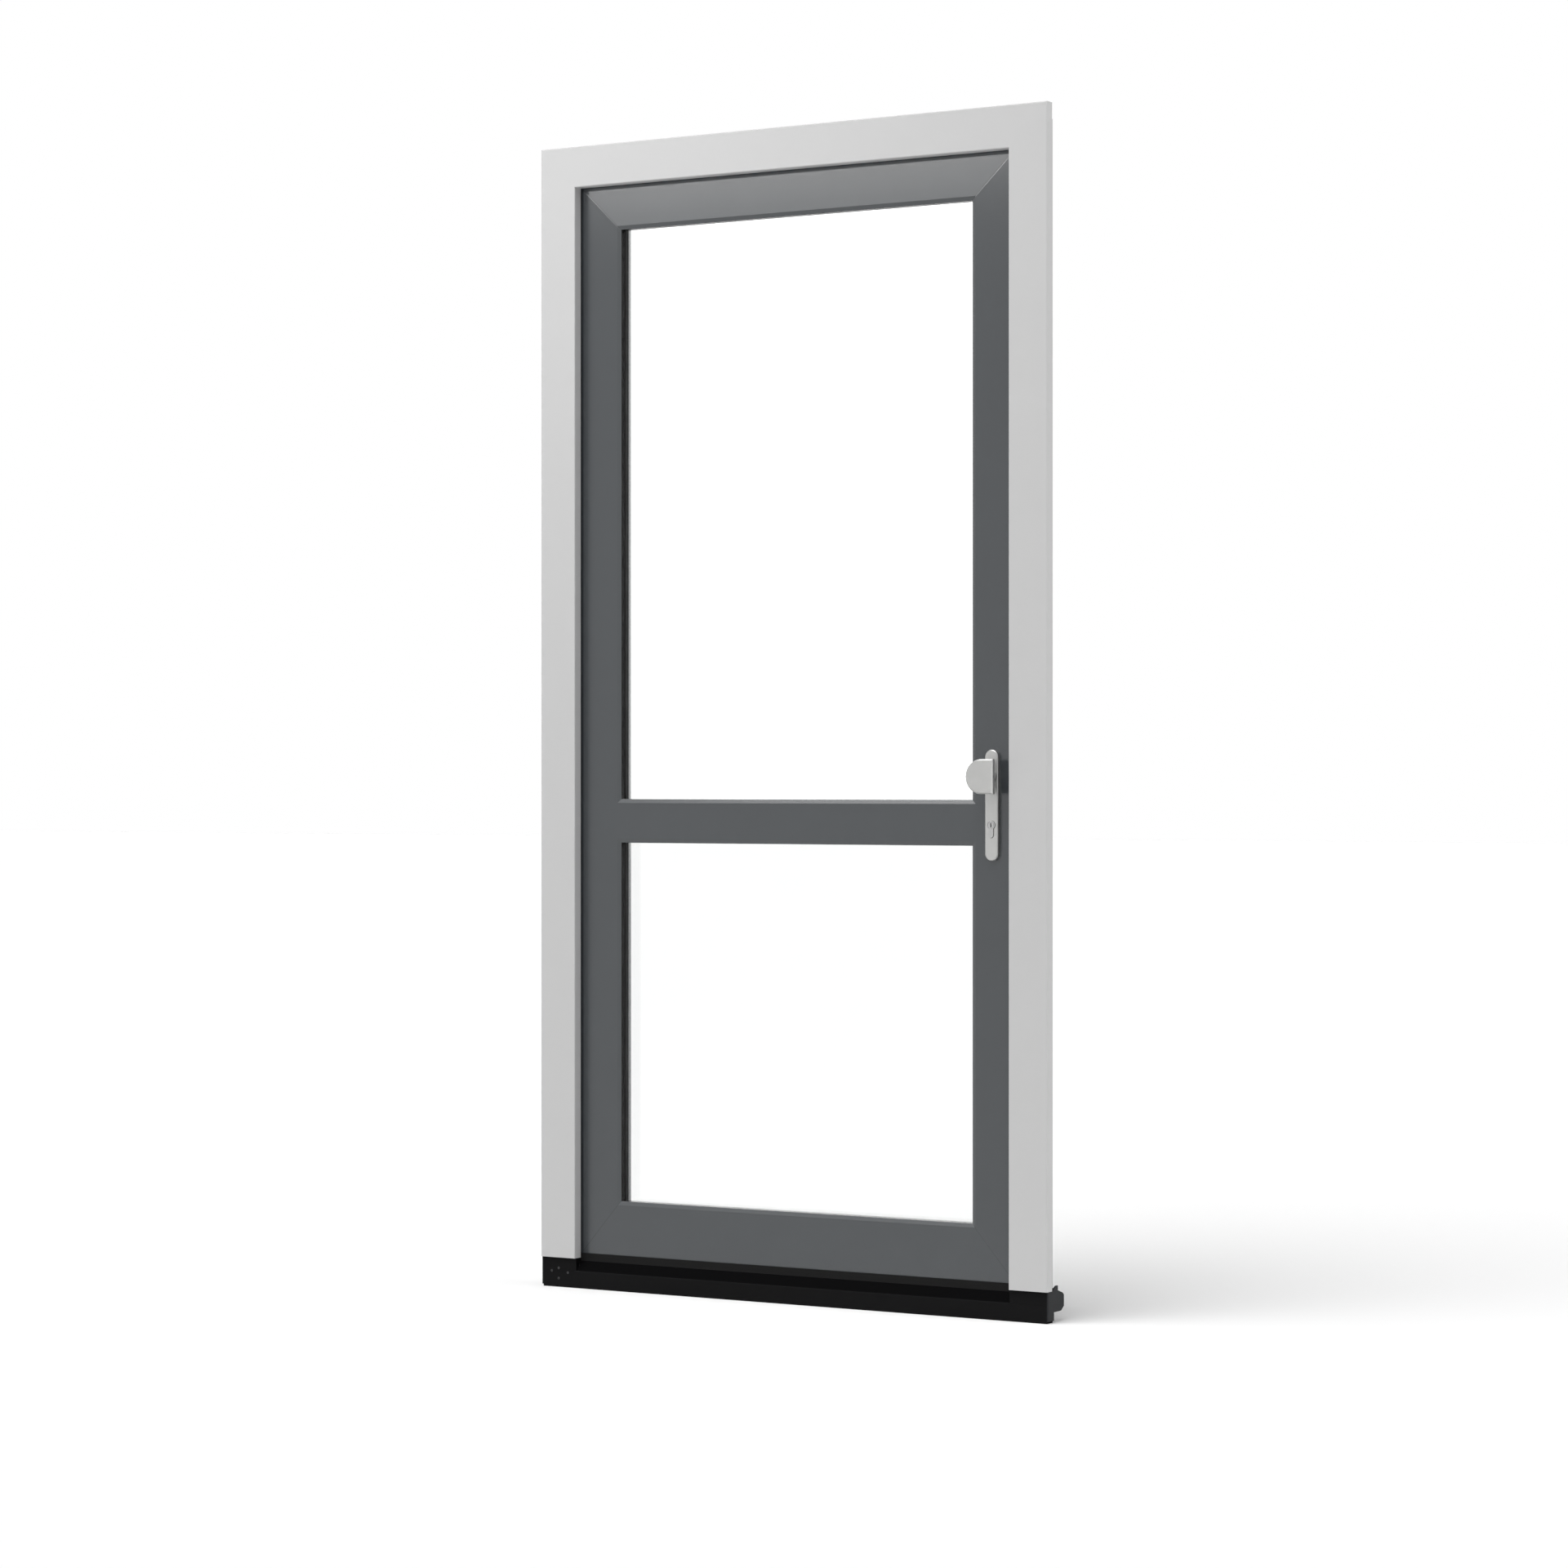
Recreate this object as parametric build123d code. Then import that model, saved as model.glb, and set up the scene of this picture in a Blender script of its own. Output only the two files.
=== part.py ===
from build123d import *
import os

# A single front door in white plastic frame, seen closed.
# X runs along the door, Y from the outside to the room, Z up.
# Depths are measured into the room from the front plane of the frame.

# Whole door
WIDTH = 1150.0
HEIGHT = 2300.0

# Outer frame profile
FRAME_FACE = 82.0
FRAME_DEPTH = 70.0
FRAME_LEG = 22.0
FRAME_REBATE = 20.0
FLANGE_REACH = 23.0
FLANGE_DEPTH = 21.0
FRAME_ROUNDING = 2.5
CLIP_GROOVE_DEPTHS = (31.0, 57.0)
CLIP_GROOVE_MOUTH = 8.0
CLIP_GROOVE_FLARE = 1.5
CLIP_GROOVE_INSET = 4.0

# Threshold
SILL_SET_BACK = 5.0
SILL_UNDER_JAMB = 60.0
SILL_NOSE = 34.0
SILL_NOSE_ROUNDING = 3.0
SILL_LIP_TOP = 54.0
SILL_LIP_WIDTH = 5.0
SILL_FOOT = 24.0
SILL_BELLY = 20.0
SILL_BELLY_SLOPE = 12.0
SILL_BELLY_RISE = 8.0
CAP_THICKNESS = 3.0
CAP_LIFT = 4.0
CAP_RIDGE_TOP = 69.0
CAP_RIDGE_WIDTH = 7.0
CAP_RIDGE_DEPTH = 38.0
CAP_RIDGE_SLOPE = 15.0
CAP_REAR_TOP = 53.0

# Leaf profile
LEAF_DEPTH = 70.0
LEAF_OVERLAP = 8.0
SEAL_GAP = 5.0
INNER_LIP_REACH = 20.0
INNER_LIP_ROUNDING = 6.0
LEAF_ROUNDING = 1.5
HARDWARE_GROOVE_WIDTH = 16.0
HARDWARE_GROOVE_INSET = 4.0
HARDWARE_GROOVE_MIDDLE = 58.0
STILE_WIDTH = 101.0
TOP_RAIL_WIDTH = 97.0
BOTTOM_RAIL_WIDTH = 117.0
MID_RAIL_WIDTH = 88.0
MID_RAIL_CENTRE = 942.0
GLASS_REBATE = 26.0
GLASS_LEG = 15.0
BEVEL_WIDTH = 8.0
BEVEL_DEPTH = 3.0
LEAF_BELOW_SILL_SEAL = 8.0
SILL_SEAL_TOP = 69.0

# Glazing
PANE = 4.0
PANE_SPACE = 16.0
GLASS_EDGE_GAP = 5.0
OUTER_GASKET = 3.5
INNER_GASKET = 3.0
GASKET_WIDTH = 7.0
SPACER_WIDTH = 10.0
SPACER_INSET = 3.0
BEAD_SET_BACK = 10.0
BEAD_NOSE = 4.0
BEAD_BACK = 8.0
BEAD_ROUNDING = 3.5
BLOCK_LENGTH = 100.0
BLOCK_WIDTH = 26.0

# Rubber seals of frame, threshold and leaf
SEAL_CLEARANCE = 0.4
SEAL_WIDTH = 5.0
SEAL_FOOT_WIDTH = 3.0
SEAL_FOOT_DEPTH = 3.0
FRAME_SEAL_INSET = 1.5
LEAF_SEAL_INSET = 1.5

# Hinges
HINGE_AXIS_OUT = 14.0
HINGE_AXIS_SIDE = 8.0
KNUCKLE_RADIUS = 9.0
HINGE_PIN_RADIUS = 4.0
HINGE_PIN_CLEARANCE = 0.05
HINGE_HEIGHT = 108.0
LEAF_KNUCKLE = 46.0
KNUCKLE_GAP = 1.0
HINGE_PLATE = 5.0
HINGE_FRAME_MARGIN = 4.0
HINGE_LEAF_PLATE_WIDTH = 38.0
HINGE_LEAF_CLEAR = 3.0
HINGE_PIN_HEAD = 3.0
HINGE_CORNER = 4.0
HINGE_FROM_LEAF_END = 209.0

# Door furniture
PLATE_WIDTH = 28.0
PLATE_LENGTH = 211.0
PLATE_THICKNESS = 8.5
PLATE_ABOVE_KNOB = 51.0
PLATE_EDGE = 1.5
KNOB_HEIGHT = 1030.0
KNOB_RADIUS = 33.0
KNOB_FLAT = 25.0
KNOB_THICKNESS = 11.0
KNOB_PROJECTION = 52.0
KNOB_NECK_RADIUS = 10.0
KNOB_COLLAR_RADIUS = 12.5
KNOB_COLLAR_THICKNESS = 2.5
KNOB_FRONT_CHAMFER = 2.5
KNOB_BACK_CHAMFER = 1.0
CYLINDER_DROP = 92.0
CYLINDER_RADIUS = 8.5
CYLINDER_STEM_WIDTH = 10.0
CYLINDER_LENGTH_BELOW = 24.5
CYLINDER_PROUD = 2.0
CYLINDER_CLEARANCE = 0.3
LEVER_THICKNESS = 14.0
LEVER_WIDTH = 20.0
LEVER_PROJECTION = 57.5
LEVER_LENGTH = 125.0
LEVER_OUTER_BEND = 20.0
LEVER_INNER_BEND = 6.0
LEVER_TIP_ROUNDING = 5.0
LEVER_CHAMFER = 2.5

# Lock
LOCK_STRIP_THICKNESS = 2.5
LOCK_STRIP_FROM_BOTTOM = 199.0
LOCK_STRIP_FROM_TOP = 206.0
BOLT_WIDTH = 10.0
BOLT_REACH = 30.0
LATCH_ABOVE_KNOB = 8.0
LATCH_HEIGHT = 34.0
LATCH_PROUD = 3.5
DEAD_BOLT_HEIGHT = 40.0
HOOK_HEIGHT = 70.0
BOLT_PROUD = 0.5
KEEP_THICKNESS = 2.0
KEEP_WIDTH = 18.0
KEEP_END = 28.0
KEEP_MARGIN = 2.0
KEEP_POCKET = 12.0

# Fixing holes through the jambs
FIXING_RADIUS = 4.0
FIXING_COUNT = 4
FIXING_FROM_FOOT = 180.0
FIXING_FROM_TOP = 200.0
FIXING_DEPTH = 44.0

# Places worked out from the sizes above
HALF_WIDTH = WIDTH / 2
OPENING_HALF = HALF_WIDTH - FRAME_FACE
BODY_HALF = HALF_WIDTH - FLANGE_REACH
REBATE_HALF = OPENING_HALF + FRAME_REBATE
OPENING_TOP = HEIGHT - FRAME_FACE
LEAF_HALF = OPENING_HALF + LEAF_OVERLAP
LEAF_TOP = OPENING_TOP + LEAF_OVERLAP
LEAF_BOTTOM = SILL_SEAL_TOP - LEAF_BELOW_SILL_SEAL
LEAF_FRONT = FRAME_LEG + SEAL_GAP
LEAF_BACK = LEAF_FRONT + LEAF_DEPTH
LIP_FRONT = FRAME_DEPTH + SEAL_GAP
HARDWARE_GAP = FRAME_REBATE - LEAF_OVERLAP
SILL_REBATE_FLOOR = LEAF_BOTTOM - HARDWARE_GAP
SIGHT_HALF = LEAF_HALF - STILE_WIDTH
SIGHT_TOP = LEAF_TOP - TOP_RAIL_WIDTH
SIGHT_BOTTOM = LEAF_BOTTOM + BOTTOM_RAIL_WIDTH
MID_RAIL_TOP = MID_RAIL_CENTRE + MID_RAIL_WIDTH / 2
MID_RAIL_BOTTOM = MID_RAIL_CENTRE - MID_RAIL_WIDTH / 2
GLASS_LEG_BACK = LEAF_FRONT + GLASS_LEG
OUTER_PANE_FRONT = GLASS_LEG_BACK + OUTER_GASKET
OUTER_PANE_BACK = OUTER_PANE_FRONT + PANE
INNER_PANE_FRONT = OUTER_PANE_BACK + PANE_SPACE
INNER_PANE_BACK = INNER_PANE_FRONT + PANE
BEAD_FRONT = INNER_PANE_BACK + INNER_GASKET
GLASS_COVER = GLASS_REBATE - GLASS_EDGE_GAP
HANDLE_X = (OPENING_HALF + SIGHT_HALF) / 2
HINGE_X = -(LEAF_HALF + INNER_LIP_REACH + HINGE_AXIS_SIDE)
HINGE_DEPTH = LEAF_BACK + HINGE_AXIS_OUT
HINGE_MIDDLES = {
    "lower": LEAF_BOTTOM + HINGE_FROM_LEAF_END,
    "middle": (LEAF_BOTTOM + LEAF_TOP) / 2,
    "upper": LEAF_TOP - HINGE_FROM_LEAF_END,
}
PLATE_MIDDLE = KNOB_HEIGHT + PLATE_ABOVE_KNOB - PLATE_LENGTH / 2
CYLINDER_MIDDLE = KNOB_HEIGHT - CYLINDER_DROP
LATCH_MIDDLE = KNOB_HEIGHT + LATCH_ABOVE_KNOB
LOCK_STRIP_BOTTOM = LEAF_BOTTOM + LOCK_STRIP_FROM_BOTTOM
LOCK_STRIP_TOP = LEAF_TOP - LOCK_STRIP_FROM_TOP
LOWER_HOOK = (LOCK_STRIP_BOTTOM + CYLINDER_MIDDLE) / 2
UPPER_HOOK = (LATCH_MIDDLE + LOCK_STRIP_TOP) / 2
ORIGIN_DEPTH = SILL_SET_BACK + SILL_FOOT / 2

# The frame's box, carried below the threshold so that the jambs are cut square at their foot
FRAME_BOX = (-HALF_WIDTH, HALF_WIDTH, -FRAME_FACE, HEIGHT)

# The leaf's outer box and the widths of its four sides
LEAF_BOX = (-LEAF_HALF, LEAF_HALF, LEAF_BOTTOM, LEAF_TOP)
LEAF_WIDTHS = {"left": STILE_WIDTH, "right": STILE_WIDTH, "bottom": BOTTOM_RAIL_WIDTH, "top": TOP_RAIL_WIDTH}

# The clear glass openings, each as left, right, bottom and top
UPPER_SIGHT = (-SIGHT_HALF, SIGHT_HALF, MID_RAIL_TOP, SIGHT_TOP)
LOWER_SIGHT = (-SIGHT_HALF, SIGHT_HALF, SIGHT_BOTTOM, MID_RAIL_BOTTOM)


# Basic forms

def flat_face(corners):
    """A flat face on its corners; each is a point in space and the radius of its rounding."""
    face = make_face(Polyline([point for point, radius in corners], close=True)).face()
    for point, radius in corners:
        if radius:
            nearest = face.vertices().sort_by_distance(point)[0]
            face = face.fillet_2d(radius, [nearest])
    return face


def placed(outline, place):
    """Corners in space from outline points of two lengths and, where rounded, a radius."""
    return [(place(point[0], point[1]), point[2] if len(point) > 2 else 0) for point in outline]


def upright(outline, bottom, top):
    """A prism standing on its outline of (x, depth) points."""
    base = flat_face(placed(outline, lambda x, y: (x, y, bottom)))
    return extrude(base, amount=top - bottom, dir=(0, 0, 1))


def level(outline, left, right):
    """A prism lying along X over its outline of (depth, height) points."""
    base = flat_face(placed(outline, lambda y, z: (left, y, z)))
    return extrude(base, amount=right - left, dir=(1, 0, 0))


def through(outline, front, back):
    """A prism running into the room behind its outline of (x, height) points."""
    base = flat_face(placed(outline, lambda x, z: (x, front, z)))
    return extrude(base, amount=back - front, dir=(0, 1, 0))


def block(left, right, front, back, bottom, top):
    """A box given by its six sides."""
    return upright([(left, front), (right, front), (right, back), (left, back)], bottom, top)


def rod_in(x, z, radius, front, back):
    """A round bar running into the room."""
    return extrude(Plane.XZ.offset(-front) * Pos(x, z) * Circle(radius), amount=-(back - front))


def grow(box, margin):
    """The box of left, right, bottom and top, wider by the margin on every side."""
    left, right, bottom, top = box
    return (left - margin, right + margin, bottom - margin, top + margin)


def side_member(side, section, box, widths, front, back):
    """One mitred side of a four-sided frame.

    The section's points are (distance inward from the box's edge, depth, rounding). The
    mitres run from each corner of the box across the widths of the two sides that meet there.
    """
    left, right, bottom, top = box
    reach_out = 0.6
    reach_in = 1.3

    def mitre(x, z, step_x, step_z, reach):
        return (x + step_x * reach, z + step_z * reach)

    corners = {
        "bl": (left, bottom, widths["left"], widths["bottom"]),
        "br": (right, bottom, -widths["right"], widths["bottom"]),
        "tr": (right, top, -widths["right"], -widths["top"]),
        "tl": (left, top, widths["left"], -widths["top"]),
    }
    ends = {"left": ("bl", "tl"), "right": ("br", "tr"), "bottom": ("bl", "br"), "top": ("tl", "tr")}
    first, second = ends[side]
    wedge = [
        mitre(*corners[first], -reach_out),
        mitre(*corners[first], reach_in),
        mitre(*corners[second], reach_in),
        mitre(*corners[second], -reach_out),
    ]
    far = max(widths.values())
    if side == "left":
        bar = upright([(left + v, *rest) for v, *rest in section], bottom - far, top + far)
    elif side == "right":
        bar = upright([(right - v, *rest) for v, *rest in section], bottom - far, top + far)
    elif side == "bottom":
        bar = level([(y, bottom + v, *rest) for v, y, *rest in section], left - far, right + far)
    else:
        bar = level([(y, top - v, *rest) for v, y, *rest in section], left - far, right + far)
    return bar & through(wedge, front, back)


def equal_widths(width):
    """The same mitre width on all four sides."""
    return {"left": width, "right": width, "bottom": width, "top": width}


def four_sides(section, box, widths, front, back):
    """The four mitred sides of a frame of one section."""
    return {name: side_member(name, section, box, widths, front, back) for name in widths}


def closed_ring(section, box, widths, front, back):
    """The four sides joined into one ring."""
    sides = four_sides(section, box, widths, front, back)
    return sides["left"] + sides["right"] + sides["bottom"] + sides["top"]


# Outer frame

def clip_grooves():
    """The flared grooves down the frame's back edge, which hold fixing clips."""
    half = CLIP_GROOVE_MOUTH / 2
    floor = FLANGE_REACH + CLIP_GROOVE_INSET
    points = []
    for middle in reversed(CLIP_GROOVE_DEPTHS):
        points += [
            (FLANGE_REACH, middle + half),
            (floor, middle + half + CLIP_GROOVE_FLARE),
            (floor, middle - half - CLIP_GROOVE_FLARE),
            (FLANGE_REACH, middle - half),
        ]
    return points


def frame_section():
    """Distance inward from the edge of the frame, depth and rounding."""
    seal_edge = FRAME_FACE - FRAME_SEAL_INSET
    seal_foot_in = seal_edge - (SEAL_WIDTH - SEAL_FOOT_WIDTH) / 2
    seal_foot_out = seal_foot_in - SEAL_FOOT_WIDTH
    floor = FRAME_FACE - FRAME_REBATE
    face = [
        (0, 0, FRAME_ROUNDING),
        (FRAME_FACE, 0, FRAME_ROUNDING),
        (FRAME_FACE, FRAME_LEG),
        (seal_foot_in, FRAME_LEG),
        (seal_foot_in, FRAME_LEG - SEAL_FOOT_DEPTH),
        (seal_foot_out, FRAME_LEG - SEAL_FOOT_DEPTH),
        (seal_foot_out, FRAME_LEG),
        (floor, FRAME_LEG),
        (floor, FRAME_DEPTH, FRAME_ROUNDING),
        (FLANGE_REACH, FRAME_DEPTH, FRAME_ROUNDING),
    ]
    return face + clip_grooves() + [(FLANGE_REACH, FLANGE_DEPTH), (0, FLANGE_DEPTH)]


def frame_side(side):
    """The head or a jamb, mitred at the top; the jambs stand on the threshold."""
    bar = side_member(side, frame_section(), FRAME_BOX, equal_widths(FRAME_FACE), 0, FRAME_DEPTH)
    return bar & block(-HALF_WIDTH, HALF_WIDTH, 0, FRAME_DEPTH, SILL_UNDER_JAMB, HEIGHT)


def fixing_heights():
    """Heights of the fixing holes up a jamb, evenly spaced."""
    lowest = SILL_UNDER_JAMB + FIXING_FROM_FOOT
    step = (HEIGHT - FIXING_FROM_TOP - lowest) / (FIXING_COUNT - 1)
    return [lowest + step * index for index in range(FIXING_COUNT)]


def jamb(side):
    """A jamb with its row of fixing holes through the rebate floor."""
    sign = -1 if side == "left" else 1
    post = frame_side(side)
    middle = sign * (REBATE_HALF + BODY_HALF) / 2
    for height in fixing_heights():
        hole = Cylinder(FIXING_RADIUS, FRAME_FACE, rotation=(0, 90, 0))
        post = post - Pos(middle, FIXING_DEPTH, height) * hole
    if side == "left":
        return post
    for low, high in keep_mouths():
        post = post - keep_mouth(low, high, REBATE_HALF + KEEP_POCKET)
    return post


def seal_section(start, inset, lip_sign):
    """A rubber seal: a foot in its groove and a lip that nearly fills the gap behind it.

    start is the depth of the grooved face, and lip_sign says which way the lip points.
    """
    foot_inset = (SEAL_WIDTH - SEAL_FOOT_WIDTH) / 2
    lip = (SEAL_GAP - SEAL_CLEARANCE) * lip_sign
    foot = -SEAL_FOOT_DEPTH * lip_sign
    outer = inset
    inner = inset + SEAL_WIDTH
    return [
        (outer, start),
        (outer + foot_inset, start + lip),
        (inner - foot_inset, start + lip),
        (inner, start),
        (inner - foot_inset, start),
        (inner - foot_inset, start + foot),
        (outer + foot_inset, start + foot),
        (outer + foot_inset, start),
    ]


def frame_seal():
    """The seal round the three sides of the opening, behind the frame's leg."""
    inset = FRAME_FACE - FRAME_SEAL_INSET - SEAL_WIDTH
    section = seal_section(FRAME_LEG, inset, 1)
    front = FRAME_LEG - SEAL_FOOT_DEPTH
    sides = four_sides(section, FRAME_BOX, equal_widths(FRAME_FACE), front, LEAF_FRONT)
    above = block(-HALF_WIDTH, HALF_WIDTH, front, LEAF_FRONT, SILL_UNDER_JAMB, HEIGHT)
    return (sides["left"] + sides["top"] + sides["right"]) & above


# Threshold

def sill_top():
    """Depth, height and rounding of the threshold's upper outline between the jambs."""
    lip_front = LEAF_FRONT - SILL_LIP_WIDTH
    return [
        (SILL_SET_BACK, SILL_NOSE, SILL_NOSE_ROUNDING),
        (lip_front, SILL_LIP_TOP),
        (LEAF_FRONT, SILL_LIP_TOP),
        (LEAF_FRONT, SILL_REBATE_FLOOR),
        (FRAME_DEPTH, SILL_REBATE_FLOOR),
    ]


def sill_base():
    """Depth and height of the threshold's lower outline, from the back to the nose."""
    foot_back = SILL_SET_BACK + SILL_FOOT
    return [
        (FRAME_DEPTH, SILL_BELLY + SILL_BELLY_RISE),
        (FRAME_DEPTH - SILL_BELLY_SLOPE, SILL_BELLY),
        (foot_back, SILL_BELLY),
        (foot_back, 0),
        (SILL_SET_BACK, 0),
    ]


def threshold_sill():
    """The threshold profile, with the groove for its seal."""
    half = HALF_WIDTH - CAP_THICKNESS
    bar = level(sill_top() + sill_base(), -half, half)
    seal_middle = LEAF_FRONT - SILL_LIP_WIDTH / 2
    groove_front = seal_middle - SEAL_FOOT_WIDTH / 2
    groove = block(-REBATE_HALF, REBATE_HALF, groove_front, groove_front + SEAL_FOOT_WIDTH,
                   SILL_LIP_TOP - SEAL_FOOT_DEPTH, SILL_LIP_TOP)
    return bar - groove


def threshold_seal():
    """The upright rubber lip along the threshold, in front of the foot of the leaf."""
    middle = LEAF_FRONT - SILL_LIP_WIDTH / 2
    foot_front = middle - SEAL_FOOT_WIDTH / 2
    foot_back = middle + SEAL_FOOT_WIDTH / 2
    outline = [
        (foot_front, SILL_LIP_TOP - SEAL_FOOT_DEPTH),
        (foot_back, SILL_LIP_TOP - SEAL_FOOT_DEPTH),
        (foot_back, SILL_LIP_TOP),
        (LEAF_FRONT - SEAL_CLEARANCE, SILL_LIP_TOP),
        (LEAF_FRONT - SEAL_CLEARANCE, SILL_SEAL_TOP),
        (foot_front + 1, SILL_SEAL_TOP),
        (foot_front - 1, SILL_LIP_TOP),
        (foot_front, SILL_LIP_TOP),
    ]
    return level(outline, -OPENING_HALF, OPENING_HALF)


def rear_slope():
    """Depth and height of the slope behind the ridge, seen beside the jambs."""
    return [
        (CAP_RIDGE_DEPTH + CAP_RIDGE_WIDTH, SILL_UNDER_JAMB),
        (FRAME_DEPTH - CAP_LIFT, CAP_REAR_TOP),
        (FRAME_DEPTH, SILL_REBATE_FLOOR),
    ]


def threshold_block(sign):
    """The moulded block that fills the threshold's slope under a jamb."""
    under_body = [(SILL_SET_BACK, SILL_UNDER_JAMB), (FRAME_DEPTH, SILL_UNDER_JAMB)]
    under_flange = [(SILL_SET_BACK, SILL_UNDER_JAMB)] + rear_slope()
    along_sill = [(depth, height) for depth, height, *rounding in reversed(sill_top())]
    inner = OPENING_HALF * sign
    body = BODY_HALF * sign
    outer = (HALF_WIDTH - CAP_THICKNESS) * sign
    main = level(along_sill + under_body, min(inner, body), max(inner, body))
    tail = level(along_sill + under_flange[:-1], min(body, outer), max(body, outer))
    return main + tail


def threshold_end_cap(sign):
    """The grey end plate, with a ridge that closes the end beside the jamb."""
    outline = [
        (SILL_SET_BACK, CAP_LIFT),
        (SILL_SET_BACK, SILL_UNDER_JAMB),
        (CAP_RIDGE_DEPTH - CAP_RIDGE_SLOPE, SILL_UNDER_JAMB),
        (CAP_RIDGE_DEPTH, CAP_RIDGE_TOP),
        (CAP_RIDGE_DEPTH + CAP_RIDGE_WIDTH, CAP_RIDGE_TOP),
    ]
    outline = outline + rear_slope() + sill_base()[:3]
    outline.append((SILL_SET_BACK + SILL_FOOT, CAP_LIFT))
    outer = HALF_WIDTH * sign
    inner = (HALF_WIDTH - CAP_THICKNESS) * sign
    return level(outline, min(inner, outer), max(inner, outer))


# Leaf

def hardware_groove():
    """The groove round the leaf's edge, from its deeper side to its outer side."""
    half = HARDWARE_GROOVE_WIDTH / 2
    return [
        (0, HARDWARE_GROOVE_MIDDLE + half),
        (HARDWARE_GROOVE_INSET, HARDWARE_GROOVE_MIDDLE + half),
        (HARDWARE_GROOVE_INSET, HARDWARE_GROOVE_MIDDLE - half),
        (0, HARDWARE_GROOVE_MIDDLE - half),
    ]


def leaf_section(width):
    """Distance inward from the leaf's edge, depth and rounding, round the whole profile."""
    floor = width - GLASS_REBATE
    seal_in = -INNER_LIP_REACH + LEAF_SEAL_INSET + (SEAL_WIDTH - SEAL_FOOT_WIDTH) / 2
    seal_out = seal_in + SEAL_FOOT_WIDTH
    around = [
        (0, LEAF_FRONT, LEAF_ROUNDING),
        (width - BEVEL_WIDTH, LEAF_FRONT),
        (width, LEAF_FRONT + BEVEL_DEPTH, LEAF_ROUNDING),
        (width, GLASS_LEG_BACK),
        (floor, GLASS_LEG_BACK),
        (floor, LEAF_BACK),
        (-INNER_LIP_REACH, LEAF_BACK, INNER_LIP_ROUNDING),
        (-INNER_LIP_REACH, LIP_FRONT, LEAF_ROUNDING),
        (seal_in, LIP_FRONT),
        (seal_in, LIP_FRONT + SEAL_FOOT_DEPTH),
        (seal_out, LIP_FRONT + SEAL_FOOT_DEPTH),
        (seal_out, LIP_FRONT),
        (0, LIP_FRONT),
    ]
    return around + hardware_groove()


def leaf_member(side):
    """A stile or an outer rail of the leaf, mitred at its corners."""
    bar = side_member(side, leaf_section(LEAF_WIDTHS[side]), LEAF_BOX, LEAF_WIDTHS, LEAF_FRONT, LEAF_BACK)
    left, right, bottom, top = grow(LEAF_BOX, INNER_LIP_REACH)
    return bar & block(left, right, LEAF_FRONT, LEAF_BACK, bottom, top)


def leaf_mid_rail():
    """The rail between the panes: a glass rebate above and below, with shaped ends.

    Its outer leg ends at the stiles' sight lines and its core at their rebate floors.
    """
    outline = [
        (LEAF_FRONT, MID_RAIL_BOTTOM + BEVEL_WIDTH),
        (LEAF_FRONT, MID_RAIL_TOP - BEVEL_WIDTH),
        (LEAF_FRONT + BEVEL_DEPTH, MID_RAIL_TOP, LEAF_ROUNDING),
        (GLASS_LEG_BACK, MID_RAIL_TOP),
        (GLASS_LEG_BACK, MID_RAIL_TOP - GLASS_REBATE),
        (LEAF_BACK, MID_RAIL_TOP - GLASS_REBATE),
        (LEAF_BACK, MID_RAIL_BOTTOM + GLASS_REBATE),
        (GLASS_LEG_BACK, MID_RAIL_BOTTOM + GLASS_REBATE),
        (GLASS_LEG_BACK, MID_RAIL_BOTTOM),
        (LEAF_FRONT + BEVEL_DEPTH, MID_RAIL_BOTTOM, LEAF_ROUNDING),
    ]
    reach = SIGHT_HALF + GLASS_REBATE
    bar = level(outline, -reach, reach)
    shoulders = []
    for sign in (-1, 1):
        stile = [
            (sign * (SIGHT_HALF + BEVEL_WIDTH), LEAF_FRONT),
            (sign * SIGHT_HALF, LEAF_FRONT + BEVEL_DEPTH),
            (sign * SIGHT_HALF, GLASS_LEG_BACK),
            (sign * reach, GLASS_LEG_BACK),
            (sign * reach, LEAF_FRONT),
        ]
        shoulders.append(upright(stile, MID_RAIL_BOTTOM, MID_RAIL_TOP))
    return bar - shoulders[0] - shoulders[1]


def cylinder_outline(margin):
    """The keyed cylinder's face: a round head with a narrow rounded stem below."""
    head = Circle(CYLINDER_RADIUS + margin)
    stem_height = CYLINDER_LENGTH_BELOW - CYLINDER_STEM_WIDTH / 2
    stem_end = Pos(0, -stem_height) * Circle(CYLINDER_STEM_WIDTH / 2 + margin)
    stem = Pos(0, -stem_height / 2) * Rectangle(CYLINDER_STEM_WIDTH + 2 * margin, stem_height)
    return head + stem + stem_end


def cylinder_bar(margin, front, back):
    """The cylinder's outline carried through the leaf."""
    sketch = Plane.XZ.offset(-front) * Pos(HANDLE_X, CYLINDER_MIDDLE) * cylinder_outline(margin)
    return extrude(sketch, amount=-(back - front))


def bolt_heights():
    """Bottom and top of each bolt in the lock stile: lower hook, dead bolt, latch, upper hook."""
    bolts = [
        (LOWER_HOOK, HOOK_HEIGHT),
        (CYLINDER_MIDDLE, DEAD_BOLT_HEIGHT),
        (LATCH_MIDDLE, LATCH_HEIGHT),
        (UPPER_HOOK, HOOK_HEIGHT),
    ]
    return [(middle - height / 2, middle + height / 2) for middle, height in bolts]


def bolt_slot(low, high, right):
    """The space of one bolt in the stile, out to the given x."""
    half = BOLT_WIDTH / 2
    return block(LEAF_HALF - BOLT_REACH, right, HARDWARE_GROOVE_MIDDLE - half,
                 HARDWARE_GROOVE_MIDDLE + half, low, high)


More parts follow.
